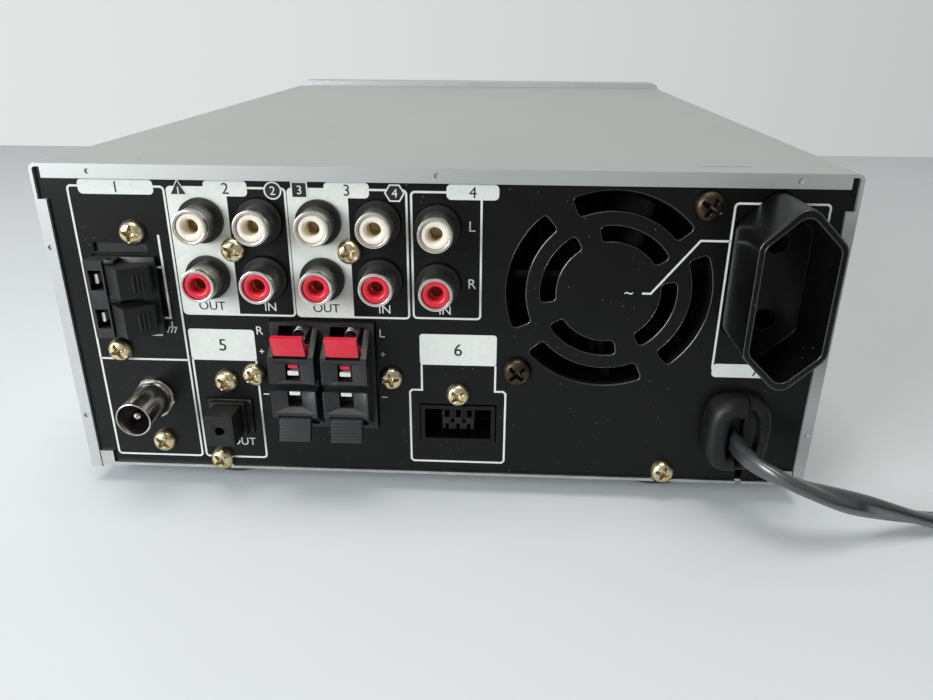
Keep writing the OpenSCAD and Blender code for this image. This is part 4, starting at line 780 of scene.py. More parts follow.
def helix(radius: float, wire: float, curls: int, span: Pair, centre: Pair) -> Patch:
    """Wind a round wire about Y: its centre runs at the radius and climbs evenly over the span.

    Args:
        radius: Radius of the wire's centre line.
        wire: Radius of the wire.
        curls: Whole turns.
        span: First and last place of the centre line along Y.
        centre: X and Z of the axis.

    Returns:
        The closed patch.
    """
    turn = np.linspace(0, 2 * math.pi * curls, 24 * curls + 1)
    climb = (span[1] - span[0]) / turn[-1]
    outward = np.stack([np.cos(turn), np.zeros_like(turn), np.sin(turn)], axis=-1)
    path = radius * outward + np.array([centre[0], span[0], centre[1]])
    path[:, 1] += climb * turn
    ahead = np.stack([-radius * np.sin(turn), np.full_like(turn, climb), radius * np.cos(turn)], axis=-1)
    beside = np.cross(unit(ahead), outward)
    angle = circle(10)[None, :, None]
    tube = wire * (np.cos(angle) * outward[:, None, :] + np.sin(angle) * beside[:, None, :])
    return skin(path[:, None, :] + tube)


def through_points(points: np.ndarray, per_span: int) -> np.ndarray:
    """Smooth curve through points: each span is the cubic whose ends head along the neighbours' chord.

    Args:
        points: Points in order, any number of coordinates.
        per_span: Samples on each span.

    Returns:
        The samples, with the last point at the end.
    """
    ends = np.vstack([2 * points[0] - points[1], points, 2 * points[-1] - points[-2]])
    t = np.linspace(0, 1, per_span, endpoint=False)[None, :, None]
    a, b, c, d = (ends[k : len(ends) - 3 + k, None, :] for k in range(4))
    curve = 0.5 * (
        2 * b + (c - a) * t + (2 * a - 5 * b + 4 * c - d) * t**2 + (3 * b - a - 3 * c + d) * t**3
    )
    return np.vstack([curve.reshape(-1, points.shape[1]), points[-1:]])


def sweep(path: np.ndarray, section: np.ndarray, roll: np.ndarray | None = None) -> Patch:
    """Carry a flat section along a path, its width turned about the path by the roll.

    The section's width lies level at a roll of nought and upright at 90 degrees.

    Args:
        path: Points of the centre line in millimetres.
        section: Outline of the section, width then thickness.
        roll: Roll at each point in degrees.

    Returns:
        The closed patch.
    """
    heading = unit(np.gradient(path, axis=0))
    level = unit(np.cross(heading, np.array([0.0, 0.0, 1.0])))
    rise = np.cross(level, heading)
    turn = np.radians(np.zeros(len(path)) if roll is None else roll)[:, None]
    wide = level * np.cos(turn) + rise * np.sin(turn)
    thick = np.cross(heading, wide)
    spread = section[None, :, :1] * wide[:, None, :] + section[None, :, 1:] * thick[:, None, :]
    return skin(path[:, None, :] + spread)


def side_of(outline: np.ndarray) -> np.ndarray:
    """Return the unit normals of a closed outline, in its plane and on its right-hand side."""
    along = np.roll(outline, -1, axis=0) - np.roll(outline, 1, axis=0)
    return unit(np.stack([along[:, 1], -along[:, 0]], axis=-1))


def bead_round(
    outline: np.ndarray, radius: np.ndarray | float, lift: np.ndarray | float, place: np.ndarray
) -> Patch:
    """Carry a small circle round a closed outline that stands in X and height.

    Args:
        outline: Points in X and height, measured from the place.
        radius: Radius of the circle, one for all points or a column of them.
        lift: Place of the circle's middle along Y, one for all points or a column of them.
        place: Point that the outline is measured from.

    Returns:
        The closed ring.
    """
    angle = circle(12)
    shape = (len(outline), len(angle))
    wide = np.broadcast_to(radius * np.cos(angle), shape)
    high = np.broadcast_to(lift + radius * np.sin(angle), shape)
    flat = outline[:, None, :] + wide[:, :, None] * side_of(outline)[:, None, :]
    grid = upright(np.concatenate([flat, high[:, :, None]], axis=-1), Axis.Y)
    return skin(grid + place, closed_rows=True, caps=False)


def put(name: str, data: bpy.types.ID) -> Thing:
    """Return a new object that holds some data, linked to the scene at the origin.

    Args:
        name: Name of the object.
        data: Its mesh, camera or light.

    Returns:
        The new object.
    """
    made = bpy.data.objects.new(name, data)
    bpy.context.scene.collection.objects.link(made)
    return made


def welded(mesh: bpy.types.Mesh) -> bmesh.types.BMesh:
    """Return a working copy of a mesh with its doubled points merged.

    Args:
        mesh: The mesh.

    Returns:
        The copy, which the caller frees.
    """
    work = bmesh.new()
    work.from_mesh(mesh)
    bmesh.ops.remove_doubles(work, verts=work.verts, dist=WELD)
    return work


def make_piece(
    name: str,
    patches: list[Patch],
    finish: Finish,
    body: str = CASE,
    replaces: tuple[str, ...] = (),
    sharp: float = CRISP,
) -> Thing:
    """Put patches into one mesh object, smooth it, and hang it on its body.

    Args:
        name: Name of the piece.
        patches: Surfaces that make it up.
        finish: Its finish.
        body: Body that it moves with.
        replaces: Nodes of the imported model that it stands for.
        sharp: Angle in degrees above which an edge stays crisp.

    Returns:
        The new object, at the origin.
    """
    counts = np.cumsum([0] + [len(p.points) for p in patches])
    points = np.concatenate([p.points for p in patches]) * MM
    faces = [[v + int(start) for v in face] for p, start in zip(patches, counts) for face in p.faces]
    mesh = bpy.data.meshes.new(name)
    mesh.from_pydata(points.tolist(), [], faces)
    work = welded(mesh)
    bmesh.ops.dissolve_degenerate(work, edges=work.edges, dist=SLIVER)
    bmesh.ops.recalc_face_normals(work, faces=work.faces)
    work.to_mesh(mesh)
    work.free()
    return settle(name, mesh, finish, body, replaces, sharp)


def settle(
    name: str, mesh: bpy.types.Mesh, finish: Finish, body: str, replaces: tuple[str, ...], sharp: float
) -> Thing:
    """Shade a mesh, give it its finish and hang it on its body.

    Args:
        name: Name of the piece.
        mesh: Its mesh in metres.
        finish: Its finish.
        body: Body that it moves with.
        replaces: Nodes that it stands for.
        sharp: Angle in degrees above which an edge stays crisp.

    Returns:
        The new object.
    """
    mesh.shade_smooth()
    mesh.set_sharp_from_angle(angle=math.radians(sharp))
    mesh.materials.clear()
    mesh.materials.append(finish.material())
    piece = put(name, mesh)
    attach(piece, body)
    if replaces:
        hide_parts(*replaces)
    LOG.info("%s: %d faces on %s", name, len(mesh.polygons), body)
    return piece


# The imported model


@dataclass(frozen=True)
class Rounding:
    """Nodes that share a finish and rounded edges: width in millimetres, facets, angle of a crisp edge."""

    finish: Finish
    width: float
    segments: int
    names: tuple[str, ...]
    sharp: float = CRISP


@dataclass
class Model:
    """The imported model: its nodes, the body of each, the panel's face and the chassis underside."""

    nodes: dict[str, Thing]
    body_of: dict[str, str] = field(default_factory=dict)
    panel_y: float = 0.0
    foot: float = 0.0

    @classmethod
    def load(cls) -> "Model":
        """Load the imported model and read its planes.

        Returns:
            The model.
        """
        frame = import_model()
        model = cls(frame["nodes"])
        for body, nodes in frame["record"]["behaviour"]["bodies"].items():
            model.body_of.update({node: body for node in nodes})
        model.panel_y = model.box("rear_panel")[1][1]
        model.foot = model.box("chassis_base")[0][2]
        return model

    def box(self, node: str) -> tuple[np.ndarray, np.ndarray]:
        """Return a node's lowest and highest corners in millimetres."""
        low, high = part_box(node)
        return np.array(low) / MM, np.array(high) / MM

    def middle(self, node: str) -> np.ndarray:
        """Return the middle of a node's box in millimetres."""
        low, high = self.box(node)
        return (low + high) / 2

    def level(self, height: float) -> float:
        """Return Z for a height above the chassis underside."""
        return self.foot + height

    def spot(self, x: float, height: float, out: float = 0.0) -> np.ndarray:
        """Return the point at an X and a height on the rear panel's face, or so far out from it."""
        return np.array([x, self.panel_y + out, self.level(height)])

    def dress(self, name: str, finish: Finish) -> None:
        """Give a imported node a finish, its shape unchanged.

        Args:
            name: The node.
            finish: Its finish.
        """
        node = self.nodes[name]
        if not node.material_slots:
            node.data.materials.append(None)
        for slot in node.material_slots:
            slot.link = "OBJECT"
            slot.material = finish.material()
        LOG.info("%s dressed in %s", name, finish.name)

    def soften(self, name: str, rounding: Rounding) -> None:
        """Replace a node by a copy whose crisp edges are rounded.

        Args:
            name: The node.
            rounding: Finish and rounding of the copy.
        """
        mesh = self.nodes[name].data.copy()
        work = welded(mesh)
        limit = math.radians(FLAT)
        bmesh.ops.dissolve_limit(work, angle_limit=limit, verts=work.verts, edges=work.edges)
        work.to_mesh(mesh)
        work.free()
        finish, sharp = rounding.finish, rounding.sharp
        piece = settle(f"{name}_moulded", mesh, finish, self.body_of[name], (name,), sharp)
        edge = piece.modifiers.new("edge", "BEVEL")
        edge.width = rounding.width * MM
        edge.segments = rounding.segments
        edge.limit_method = "ANGLE"
        edge.angle_limit = math.radians(CRISP)
        edge.harden_normals = True


# Stage


@dataclass(frozen=True)
class Lamp:
    """A soft square lamp: its place, aim and side in millimetres, its power in watts and its colour."""

    name: str
    place: Triple
    aim: Triple
    size: float
    power: float
    colour: str

    def hang(self) -> None:
        """Make the lamp and turn it to its aim."""
        data = bpy.data.lights.new(self.name, "AREA")
        data.size = self.size * MM
        data.energy = self.power
        data.color = to_linear(self.colour)[:3]
        lamp = put(self.name, data)
        heading = (Vector(self.aim) - Vector(self.place)).normalized()
        lamp.matrix_world = heading.to_track_quat("-Z", "Y").to_matrix().to_4x4()
        lamp.matrix_world.translation = Vector(self.place) * MM


@dataclass
class Stage:
    """Camera, floor and light. The camera is fitted to the photograph."""

    eye: Triple = (-15.02, 303.68, 116.22)
    forward: Triple = (0.0428, -0.91907, -0.39167)
    sideways: Triple = (-0.99875, -0.0496, 0.0052)
    lens: float = 29.37
    back_colour: str = "#f8fbfa"
    back_level: float = 0.55
    back_slope: Triple = (0.24, -0.16, 0.0)
    back_least: float = 0.36
    far_edge: float = -480.0
    table: Pair = (560.0, 270.0)
    table_deep: float = 20.0
    ambient: float = 0.22
    ambient_colour: str = "#f4f7fa"
    lamps: tuple[Lamp, ...] = (
        Lamp("window", (560.0, 650.0, 280.0), (0.0, 110.0, 40.0), 450.0, 7.1, "#fbfdff"),
        Lamp("ceiling", (0.0, 260.0, 1300.0), (0.0, 60.0, 0.0), 800.0, 9.5, "#fffbf3"),
    )

    def build(self) -> None:
        """Make the camera, the floor, the world and the lamps."""
        self.camera()
        self.floor()
        self.world()
        for lamp in self.lamps:
            lamp.hang()
        bpy.context.scene.view_settings.view_transform = "Standard"

    def camera(self) -> None:
        """Place the camera by its eye and heading, level but for a small roll."""
        ahead = Vector(self.forward).normalized()
        right = Vector(self.sideways)
        right = (right - ahead * right.dot(ahead)).normalized()
        over = right.cross(ahead)
        pose = Matrix((right, over, -ahead)).transposed().to_4x4()
        pose.translation = Vector(self.eye) * MM
        data = bpy.data.cameras.new("camera")
        data.lens = self.lens
        data.sensor_width = 36.0
        data.clip_start = 0.005
        camera = put("camera", data)
        camera.matrix_world = pose
        bpy.context.scene.camera = camera

    def floor(self) -> None:
        """Lay a pale satin table top: straight where the photograph's ends, half an ellipse nearer by."""
        half, near = self.table
        angle = np.linspace(0, math.pi, 61)
        corners = [(-half, self.far_edge), (half, self.far_edge)]
        outline = np.vstack([spokes(angle) * (half, near), corners])
        patch = loft([outline, outline], [-self.table_deep, 0.0], (0.0, 0.0, 0.0), Axis.Z)
        mesh = bpy.data.meshes.new("table_top")
        mesh.from_pydata((patch.points * MM).tolist(), [], patch.faces)
        mesh.materials.append(TABLE_LAMINATE.material())
        put("table_top", mesh)

    def world(self) -> None:
        """Fill light all round, and a plain pale backdrop that is brightest to the left of the unit."""
        world = bpy.data.worlds.new("studio")
        bpy.context.scene.world = world
        world.use_nodes = True
        tree = world.node_tree
        tree.nodes.clear()
        rays = add_node(tree, "ShaderNodeLightPath")
        shown = rays.outputs["Is Camera Ray"]
        for kind in ("Is Transmission Ray", "Is Glossy Ray"):
            pair = {0: shown, 1: rays.outputs[kind]}
            shown = add_node(tree, "ShaderNodeMath", pair, operation="MAXIMUM").outputs[0]
        fill = add_node(
            tree,
            "ShaderNodeBackground",
            {"Color": to_linear(self.ambient_colour), "Strength": self.ambient},
        )
        toward = add_node(tree, "ShaderNodeTexCoord").outputs["Generated"]
        slope = add_node(
            tree, "ShaderNodeVectorMath", {0: toward, 1: self.back_slope}, operation="DOT_PRODUCT"
        )
        level = slope.outputs["Value"]
        for step, amount in (("ADD", self.back_level), ("MAXIMUM", self.back_least)):
            level = add_node(tree, "ShaderNodeMath", {0: level, 1: amount}, operation=step).outputs[0]
        back = add_node(
            tree,
            "ShaderNodeBackground",
            {"Color": to_linear(self.back_colour), "Strength": level},
        )
        shaders = {0: shown, 1: fill.outputs[0], 2: back.outputs[0]}
        both = add_node(tree, "ShaderNodeMixShader", shaders)
        add_node(tree, "ShaderNodeOutputWorld", {"Surface": both.outputs[0]})


# Lead


@dataclass
class Lead:
    """Flat two-core mains lead from the bushing to its coil, with its tie and plug.

    A row of the route is x, y, z and the roll in degrees. A station of the plug is its place along the
    plug, then width, height and corner radius. The strap is its half width and its wall.
    """

    route: tuple[tuple[float, float, float, float], ...] = (
        (-74.7, 130, 20.2, 90), (-74.8, 134, 20.2, 88), (-75.2, 137.8, 20.2, 84),
        (-76.1, 141.2, 20.1, 76), (-77.7, 144, 19.8, 64), (-80.1, 146.3, 19.2, 48),
        (-83.4, 147.9, 18.2, 28), (-87.6, 148.6, 16.8, 6), (-92.8, 148.2, 14.9, -24),
        (-98.6, 147, 12.6, -58), (-104.9, 145.2, 10.1, -92), (-111.2, 143.3, 7.6, -122),
        (-117.6, 141.5, 5.3, -150), (-124.5, 140, 3.4, -174), (-131.5, 139.3, 2.6, -196),
        (-139, 139, 2.9, -226), (-147, 139, 3.6, -254), (-156, 139, 3.7, -270),
    )
    wide: float = 5.6
    thin: float = 3.6
    coil_middle: Pair = (-162.0, 178.0)
    coil_radius: float = 39.0
    coil_step: float = 4.7
    coil_layer: float = 6.5
    coil_low: float = 3.7
    turns: float = 3.25
    tail_end: float = -206.0
    tail_low: float = 7.0
    tail_run: float = 38.0
    strap: Pair = (3.0, 0.6)
    strap_gap: float = 0.7
    plug_long: float = 37.0
    plug_stations: tuple[tuple[float, float, float, float], ...] = (
        (0.0, 8.0, 6.4, 3.0), (3.0, 9.0, 7.4, 3.6), (9.0, 14.5, 9.6, 4.6), (15.0, 24.0, 12.0, 5.6),
        (20.0, 31.5, 13.3, 6.2), (25.0, 35.3, 13.7, 6.4), (34.0, 35.3, 13.7, 6.4),
        (36.2, 34.3, 12.9, 6.0), (37.0, 32.4, 11.4, 5.2),
    )
    grips: int = 3
    grip_start: float = 27.0
    grip_step: float = 2.2
    grip_level: float = 13.6
    pin_spread: float = 9.3
    pin_end: float = -262.0

    def section(self) -> np.ndarray:
        """Outline of the lead: an oval with a shallow groove between its two cores.

        Returns:
            Points of width and thickness.
        """
        angle = circle(28)
        across = self.wide / 2 * np.sign(np.cos(angle)) * np.abs(np.cos(angle)) ** 0.86
        groove = 1 - 0.2 * np.exp(-((across / 0.7) ** 2))
        return np.stack([across, self.thin / 2 * np.sin(angle) * groove], axis=-1)

    def coil(self) -> np.ndarray:
        """Two flat layers: inwards on the floor, a half turn that climbs, outwards on top.

        Returns:
            Points of the centre line.
        """
        turn = np.linspace(0, 2 * self.turns + 0.5, 7 * 56 + 1)
        climb = np.clip((turn - self.turns) / 0.5, 0, 1)
        inward = np.minimum(turn, self.turns)
        outward = np.maximum(turn - self.turns - 0.5, 0)
        radius = self.coil_radius - self.coil_step * (inward - outward)
        angle = np.radians(-90 - 360 * turn)
        x = self.coil_middle[0] + radius * np.cos(angle)
        y = self.coil_middle[1] + radius * np.sin(angle)
        z = self.coil_low + self.coil_layer * ease(climb)
        return np.stack([x, y, z], axis=-1)

    def tail(self) -> np.ndarray:
        """Last straight run, which settles from the coil's top to the plug's height.

        Returns:
            Points of the centre line.
        """
        x = np.linspace(self.coil_middle[0], self.tail_end, 24)[1:]
        share = np.clip((self.coil_middle[0] - x) / self.tail_run, 0, 1)
        high = self.coil_low + self.coil_layer
        z = high + (self.tail_low - high) * ease(share)
        return np.stack([x, np.full_like(x, self.coil_middle[1] - self.coil_radius), z], axis=-1)

    def build(self) -> None:
        route = through_points(np.array(self.route, float), 6)
        coil = self.coil()
        path = np.vstack([route[:, :3], coil, self.tail()])
        roll = np.concatenate([route[:, 3], np.full(len(path) - len(route), -270.0)])
        lead = make_piece(
            "mains_lead",
            [sweep(path, self.section(), roll)],
            CORD_RUBBER,
            replaces=("power_cord", "cord_coil"),
            sharp=60.0,
        )
        tie = self.tie()
        plug, pins = self.plug()

    def tie(self) -> Thing:
        """Flat strap round the far side of the coil: a rounded ring carried along X.

        Returns:
            The tie.
        """
        x, y = self.coil_middle
        low = self.coil_low - self.wide / 2 - self.strap_gap
        high = self.coil_low + self.coil_layer + self.wide / 2 + self.strap_gap
        outer = y + self.coil_radius + self.thin / 2 + self.strap_gap
        inner = y + self.coil_radius - self.coil_step * self.turns - self.thin / 2 - self.strap_gap
        size = (outer - inner, high - low)
        mid = ((outer + inner) / 2, (high + low) / 2)
        half, wall = self.strap
        ring = rounded_outline(size[0], size[1], 2.4, 8)
        hole = rounded_outline(size[0] - 2 * wall, size[1] - 2 * wall, 1.8, 8)
        ends = [(-half, hole), (0.3 - half, ring), (half - 0.3, ring), (half, hole)]
        rows = [np.column_stack([np.full(len(o), x + along), o + mid]) for along, o in ends]
        strap = skin(np.stack(rows), closed_rows=True, caps=False)
        knot = pillow((5.0, 5.6), 1.6, (high - 0.4, high + 1.6), 0.7, (x, mid[0], 0), Axis.Z)
        return make_piece("lead_tie", [strap, knot], BLACK_PLASTIC, replaces=("cord_tie",))

    def plug(self) -> tuple[Thing, Thing]:
        """Flat two-pin plug: outlines that swell from the lead to the pin face, and two round pins.

        Returns:
            The plug and its pins.
        """
        stations = np.array(self.plug_stations)
        along = np.linspace(0, self.plug_long, 46)
        columns = [np.interp(along, stations[:, 0], stations[:, k]) for k in (1, 2, 3)]
        outlines = [rounded_outline(w, h, r, 9) for w, h, r in zip(*columns)]
        x, y, z = self.tail_end, self.coil_middle[1] - self.coil_radius, self.tail_low
        shell = loft(outlines, (-along).tolist(), (x, y, z), Axis.X)
        spots = [x - self.grip_start - self.grip_step * k for k in range(self.grips)]
        grips = [
            pillow((1.2, 8.0), 0.5, (-0.3, 0.45), 0.25, (spot, y, self.grip_level), Axis.Z)
            for spot in spots
        ]
        plug = make_piece("lead_plug", [shell, *grips], CORD_RUBBER, replaces=("mains_plug",), sharp=50.0)
        face = x - self.plug_long
        profile = [
            (0.0, face + 1.0), (2.0, face + 1.0), (2.0, face - 8.0), (2.0, self.pin_end + 1.2),
            (1.7, self.pin_end + 0.4), (1.1, self.pin_end), (0.0, self.pin_end),
        ]
        pins = [lathe(profile, (0.0, y + side * self.pin_spread, z), Axis.X, 28) for side in (-1, 1)]
        return plug, make_piece("plug_pins", pins, BRASS)


# Panel print


@dataclass
class PanelPrint:
    """Screen print of the rear panel: frames, plates, tabs and plain generic signs."""

    model: Model
    line: float = 0.5
    line_coats: float = 1.3
    mitre: float = 0.4
    corner: float = 0.9
    tab_corner: float = 1.1
    plate_corner: float = 0.8
    key_coat: int = 3
    key_inner: float = 0.84
    capital: float = 0.7
    ink: float = 0.035
    pale: list[Patch] = field(default_factory=list)
    dark: list[Patch] = field(default_factory=list)

    def onto(self, flat: np.ndarray, lift: float) -> np.ndarray:
        """Lay points of X and height on the panel, lifted by so many coats of ink."""
        y = np.full(len(flat), self.model.panel_y + lift * self.ink)
        return np.column_stack([flat[:, 0], y, flat[:, 1] + self.model.foot])

    def area(self, outline: np.ndarray, coat: int = 1) -> Patch:
        """Fill an outline with ink: a thin slab one coat thick.

        Args:
            outline: Points of X and height.
            coat: Which coat it is, from the panel.

        Returns:
            The slab.
        """
        low = self.onto(outline, coat - 1)
        high = self.onto(outline, coat)
        return skin(np.stack([low, high]))

    def stroke(self, path: list[Pair], closed: bool = False, width: float | None = None) -> None:
        """Draw a pale line of one width along a path, its corners mitred.

        Args:
            path: Points of X and height.
            closed: Whether the last point joins the first.
            width: Width of the line, or none for the usual one.
        """
        line = np.array(path, float)
        half = (width or self.line) / 2
        before = np.roll(line, 1, axis=0)
        after = np.roll(line, -1, axis=0)
        if not closed:
            before[0] = 2 * line[0] - line[1]
            after[-1] = 2 * line[-1] - line[-2]
        into = unit(line - before)
        out = unit(after - line)
        square = unit(np.stack([-(into + out)[:, 1], (into + out)[:, 0]], axis=-1))
        lean = np.abs((square * np.stack([-into[:, 1], into[:, 0]], axis=-1)).sum(axis=1))
        spread = half / np.maximum(lean, self.mitre)
        left = line + square * spread[:, None]
        right = line - square * spread[:, None]
        self.band(left, right, (0, self.line_coats), closed)

    def band(self, left: np.ndarray, right: np.ndarray, coats: Pair, closed: bool) -> None:
        """Lay pale ink between two edge lines, from one count of coats up to another.

        Args:
            left: Points of X and height along one edge.
            right: Points along the other edge.
            coats: Coats of ink below the band, and up to its top.
            closed: Whether the band joins its own start.
        """
        low, high = coats
        turns = ((left, low), (left, high), (right, high), (right, low))
        rows = [self.onto(edge, coat) for edge, coat in turns]
        self.pale.append(skin(np.stack(rows, axis=1), closed_rows=closed))

    @staticmethod
    def box(x: Pair, h: Pair, corners: float | tuple[float, ...] = 0.0) -> np.ndarray:
        """Return the outline of a rectangle given by its X and height limits.

        Args:
            x: X limits.
            h: Height limits.
            corners: Corner radius, or one for each corner.

        Returns:
            Points of X and height.
        """
        middle = np.array([(x[0] + x[1]) / 2, (h[0] + h[1]) / 2])
        steps = 7 if np.any(corners) else 1
        return rounded_outline(x[1] - x[0], h[1] - h[0], corners, steps) + middle

    def plate(self, x: Pair, h: Pair, corners: float | tuple[float, ...], coat: int = 1) -> None:
        """Print a pale plate within X and height limits."""
        self.pale.append(self.area(self.box(x, h, corners), coat))

    def frame(self, x: Pair, h: Pair) -> None:
        """Draw a closed frame line with small rounded corners."""
        self.stroke(self.box(x, h, self.corner).tolist(), closed=True)

    def tab(self, x: Pair, h: Pair, sign: str, size: float = 2.6) -> None:
        """Print a pale tab with rounded corners and a dark sign on it."""
        self.plate(x, h, self.tab_corner, 2)
        self.sign(sign, ((x[0] + x[1]) / 2, (h[0] + h[1]) / 2), size, dark=True)

    def sign(self, words: str, at: Pair, size: float, dark: bool = False) -> None:
        """Set a sign about a point.

        Args:
            words: The sign.
            at: X and height of its middle.
            size: Height of a capital in millimetres.
            dark: Whether it is dark ink on a pale plate.
        """
        data = bpy.data.curves.new("sign", "FONT")
        data.body = words
        data.size = size / self.capital
        data.extrude = 0.5
        data.resolution_u = 4
        holder = bpy.data.objects.new("sign", data)
        mesh = bpy.data.meshes.new_from_object(holder)
        points = np.empty(len(mesh.vertices) * 3)
        mesh.vertices.foreach_get("co", points)
        points = points.reshape(-1, 3)
        faces = [list(p.vertices) for p in mesh.polygons]
        middle = (points.min(0) + points.max(0)) / 2
        points = points - middle
        base = 2 if dark else 0
        flat = np.column_stack([at[0] - points[:, 0], at[1] + points[:, 1]])
        placed = self.onto(flat, base)
        placed[:, 1] += (points[:, 2] + 0.5) * self.ink
        (self.dark if dark else self.pale).append(Patch(placed, faces))
        bpy.data.objects.remove(holder)
        bpy.data.curves.remove(data)
        bpy.data.meshes.remove(mesh)

    @staticmethod
    def polygon(middle: Pair, radius: float, sides: int, turn: float, wide: float) -> np.ndarray:
        """Return a regular outline, stretched across by `wide`."""
        return np.array(middle) + spokes(np.radians(turn) + circle(sides)) * (wide * radius, radius)

    def antenna(self) -> None:
        """Frame of the antenna group, its divider, wire bracket and earth sign."""
        self.frame((64.1, 87.05), (3.2, 75.4))
        self.stroke([(64.1, 31.3), (87.05, 31.3)])
        self.tab((66.5, 84.5), (73.5, 77.0), "1")
        for width, path in (
            (0.45, [(69.9, 55.85), (67.1, 55.85)]),
            (0.55, [(67.05, 63.9), (67.05, 42.7), (69.8, 42.7)]),
            (0.45, [(73.9, 38.05), (69.8, 38.05)]),
            (0.35, [(66.95, 41.8), (66.95, 40.2)]),
            (0.35, [(67.95, 40.2), (65.75, 40.2)]),
        ):
            self.stroke(path, width=width)
        for x in (67.75, 66.85, 65.95):
            self.stroke([(x, 40.2), (x + 0.72, 38.7)], width=0.32)

    def line_groups(self) -> None:
        """Three groups of line jacks, two of them with a pale half."""
        for x, split, tab, sign in (
            ((35.5, 63.3), 49.3, (44.3, 54.6), "2"),
            ((7.2, 34.8), 20.8, (15.8, 26.3), "3"),
        ):
            self.frame(x, (44.0, 75.4))
            outer = (self.corner, 0.0, 0.0, self.corner)
            self.plate((split, x[1]), (44.0, 75.4), outer)
            self.tab(tab, (73.4, 77.1), sign)
            self.sign("IN", (x[0] + 6.0, 46.25), 2.2)
            self.sign("OUT", (x[1] - 7.2, 46.25), 2.2, dark=True)
        self.frame((-10.2, 6.1), (44.2, 75.1))
        self.tab((-14.2, -2.1), (73.4, 77.0), "4")
        self.sign("IN", (-1.6, 46.3), 2.2)
        self.sign("L", (-8.1, 67.2), 2.4)
        self.sign("R", (-8.2, 53.2), 2.4)
        self.keys()

    def keys(self) -> None:
        """Four key shapes at the corners of the line groups, each with a plain number."""
        shapes = (
            (self.polygon((60.6, 74.8), 2.5, 3, 90.0, 1.0), (60.6, 74.5), "1"),
            (self.polygon((38.3, 74.9), 2.1, 24, 0.0, 1.0), (38.3, 74.9), "2"),
            (self.box((30.1, 34.0), (73.2, 77.1)), (32.05, 75.15), "3"),
            (self.polygon((9.9, 74.75), 2.3, 6, 0.0, 1.05), (9.9, 74.75), "4"),
        )
        for outline, middle, number in shapes:
            self.dark.append(self.area(outline, self.key_coat))
            self.ring(outline)
            self.sign(number, middle, 2.0)
            self.pale[-1].points[:, 1] += self.key_coat * self.ink

    def ring(self, outline: np.ndarray) -> None:
        """Draw a pale line round a key shape, on top of its dark fill.

        Args:
            outline: Points of X and height.
        """
        middle = outline.mean(axis=0)
        inner = middle + (outline - middle) * self.key_inner
        self.band(outline, inner, (self.key_coat, self.key_coat + 1), True)

    def lower_groups(self) -> None:
        """Frames and plates of the optical output, the speakers, the system socket and the outlet."""
        self.plate((46.4, 63.2), (31.5, 40.0), self.plate_corner)
        self.sign("5", (54.8, 35.75), 3.2, dark=True)
        self.stroke(
            [
                (63.0, 31.6), (63.0, 4.0), (62.75, 3.45), (62.2, 3.2), (47.4, 3.2), (46.85, 3.45),
                (46.6, 4.0), (46.6, 31.6),
            ]
        )
        self.sign("OUT", (52.4, 8.0), 2.2)
        for x in (44.9, 14.1):
            self.sign("+", (x, 34.2), 1.8)
            self.stroke([(x - 0.75, 22.2), (x + 0.75, 22.2)], width=0.32)
        self.sign("R", (44.9, 39.9), 2.2)
        self.sign("L", (14.1, 39.9), 2.2)
        self.plate((-14.4, 4.8), (31.7, 40.0), self.plate_corner)
        self.sign("6", (-4.8, 35.9), 3.2, dark=True)
        self.stroke(
            [
                (4.4, 31.8), (4.4, 24.6), (6.9, 24.6), (7.5, 24.0), (7.5, 4.3), (6.9, 3.7),
                (-16.3, 3.7), (-16.9, 4.3), (-16.9, 24.0), (-16.3, 24.6), (-14.2, 24.6), (-14.2, 31.8),
            ]
        )
        self.frame((-89.0, -67.75), (32.0, 73.6))
        self.tab((-89.0, -67.75), (30.3, 33.9), "7")
        self.stroke([(-67.75, 64.8), (-61.0, 64.8), (-50.8, 51.7), (-48.75, 51.7)])
        self.sign("~", (-45.6, 51.7), 2.6)

    def build(self) -> None:
        """Lay every group and make the two prints."""
        self.antenna()
        self.line_groups()
        self.lower_groups()
        make_piece("pale_panel_print", self.pale, PANEL_INK)
        make_piece("dark_panel_print", self.dark, DARK_INK)


# Rear connections


@dataclass(frozen=True)
class CombRow:
    """Teeth side by side: the X limits of each, their common height limits, and the face they reach to."""

    teeth: tuple[Pair, ...]
    heights: Pair
    front: float


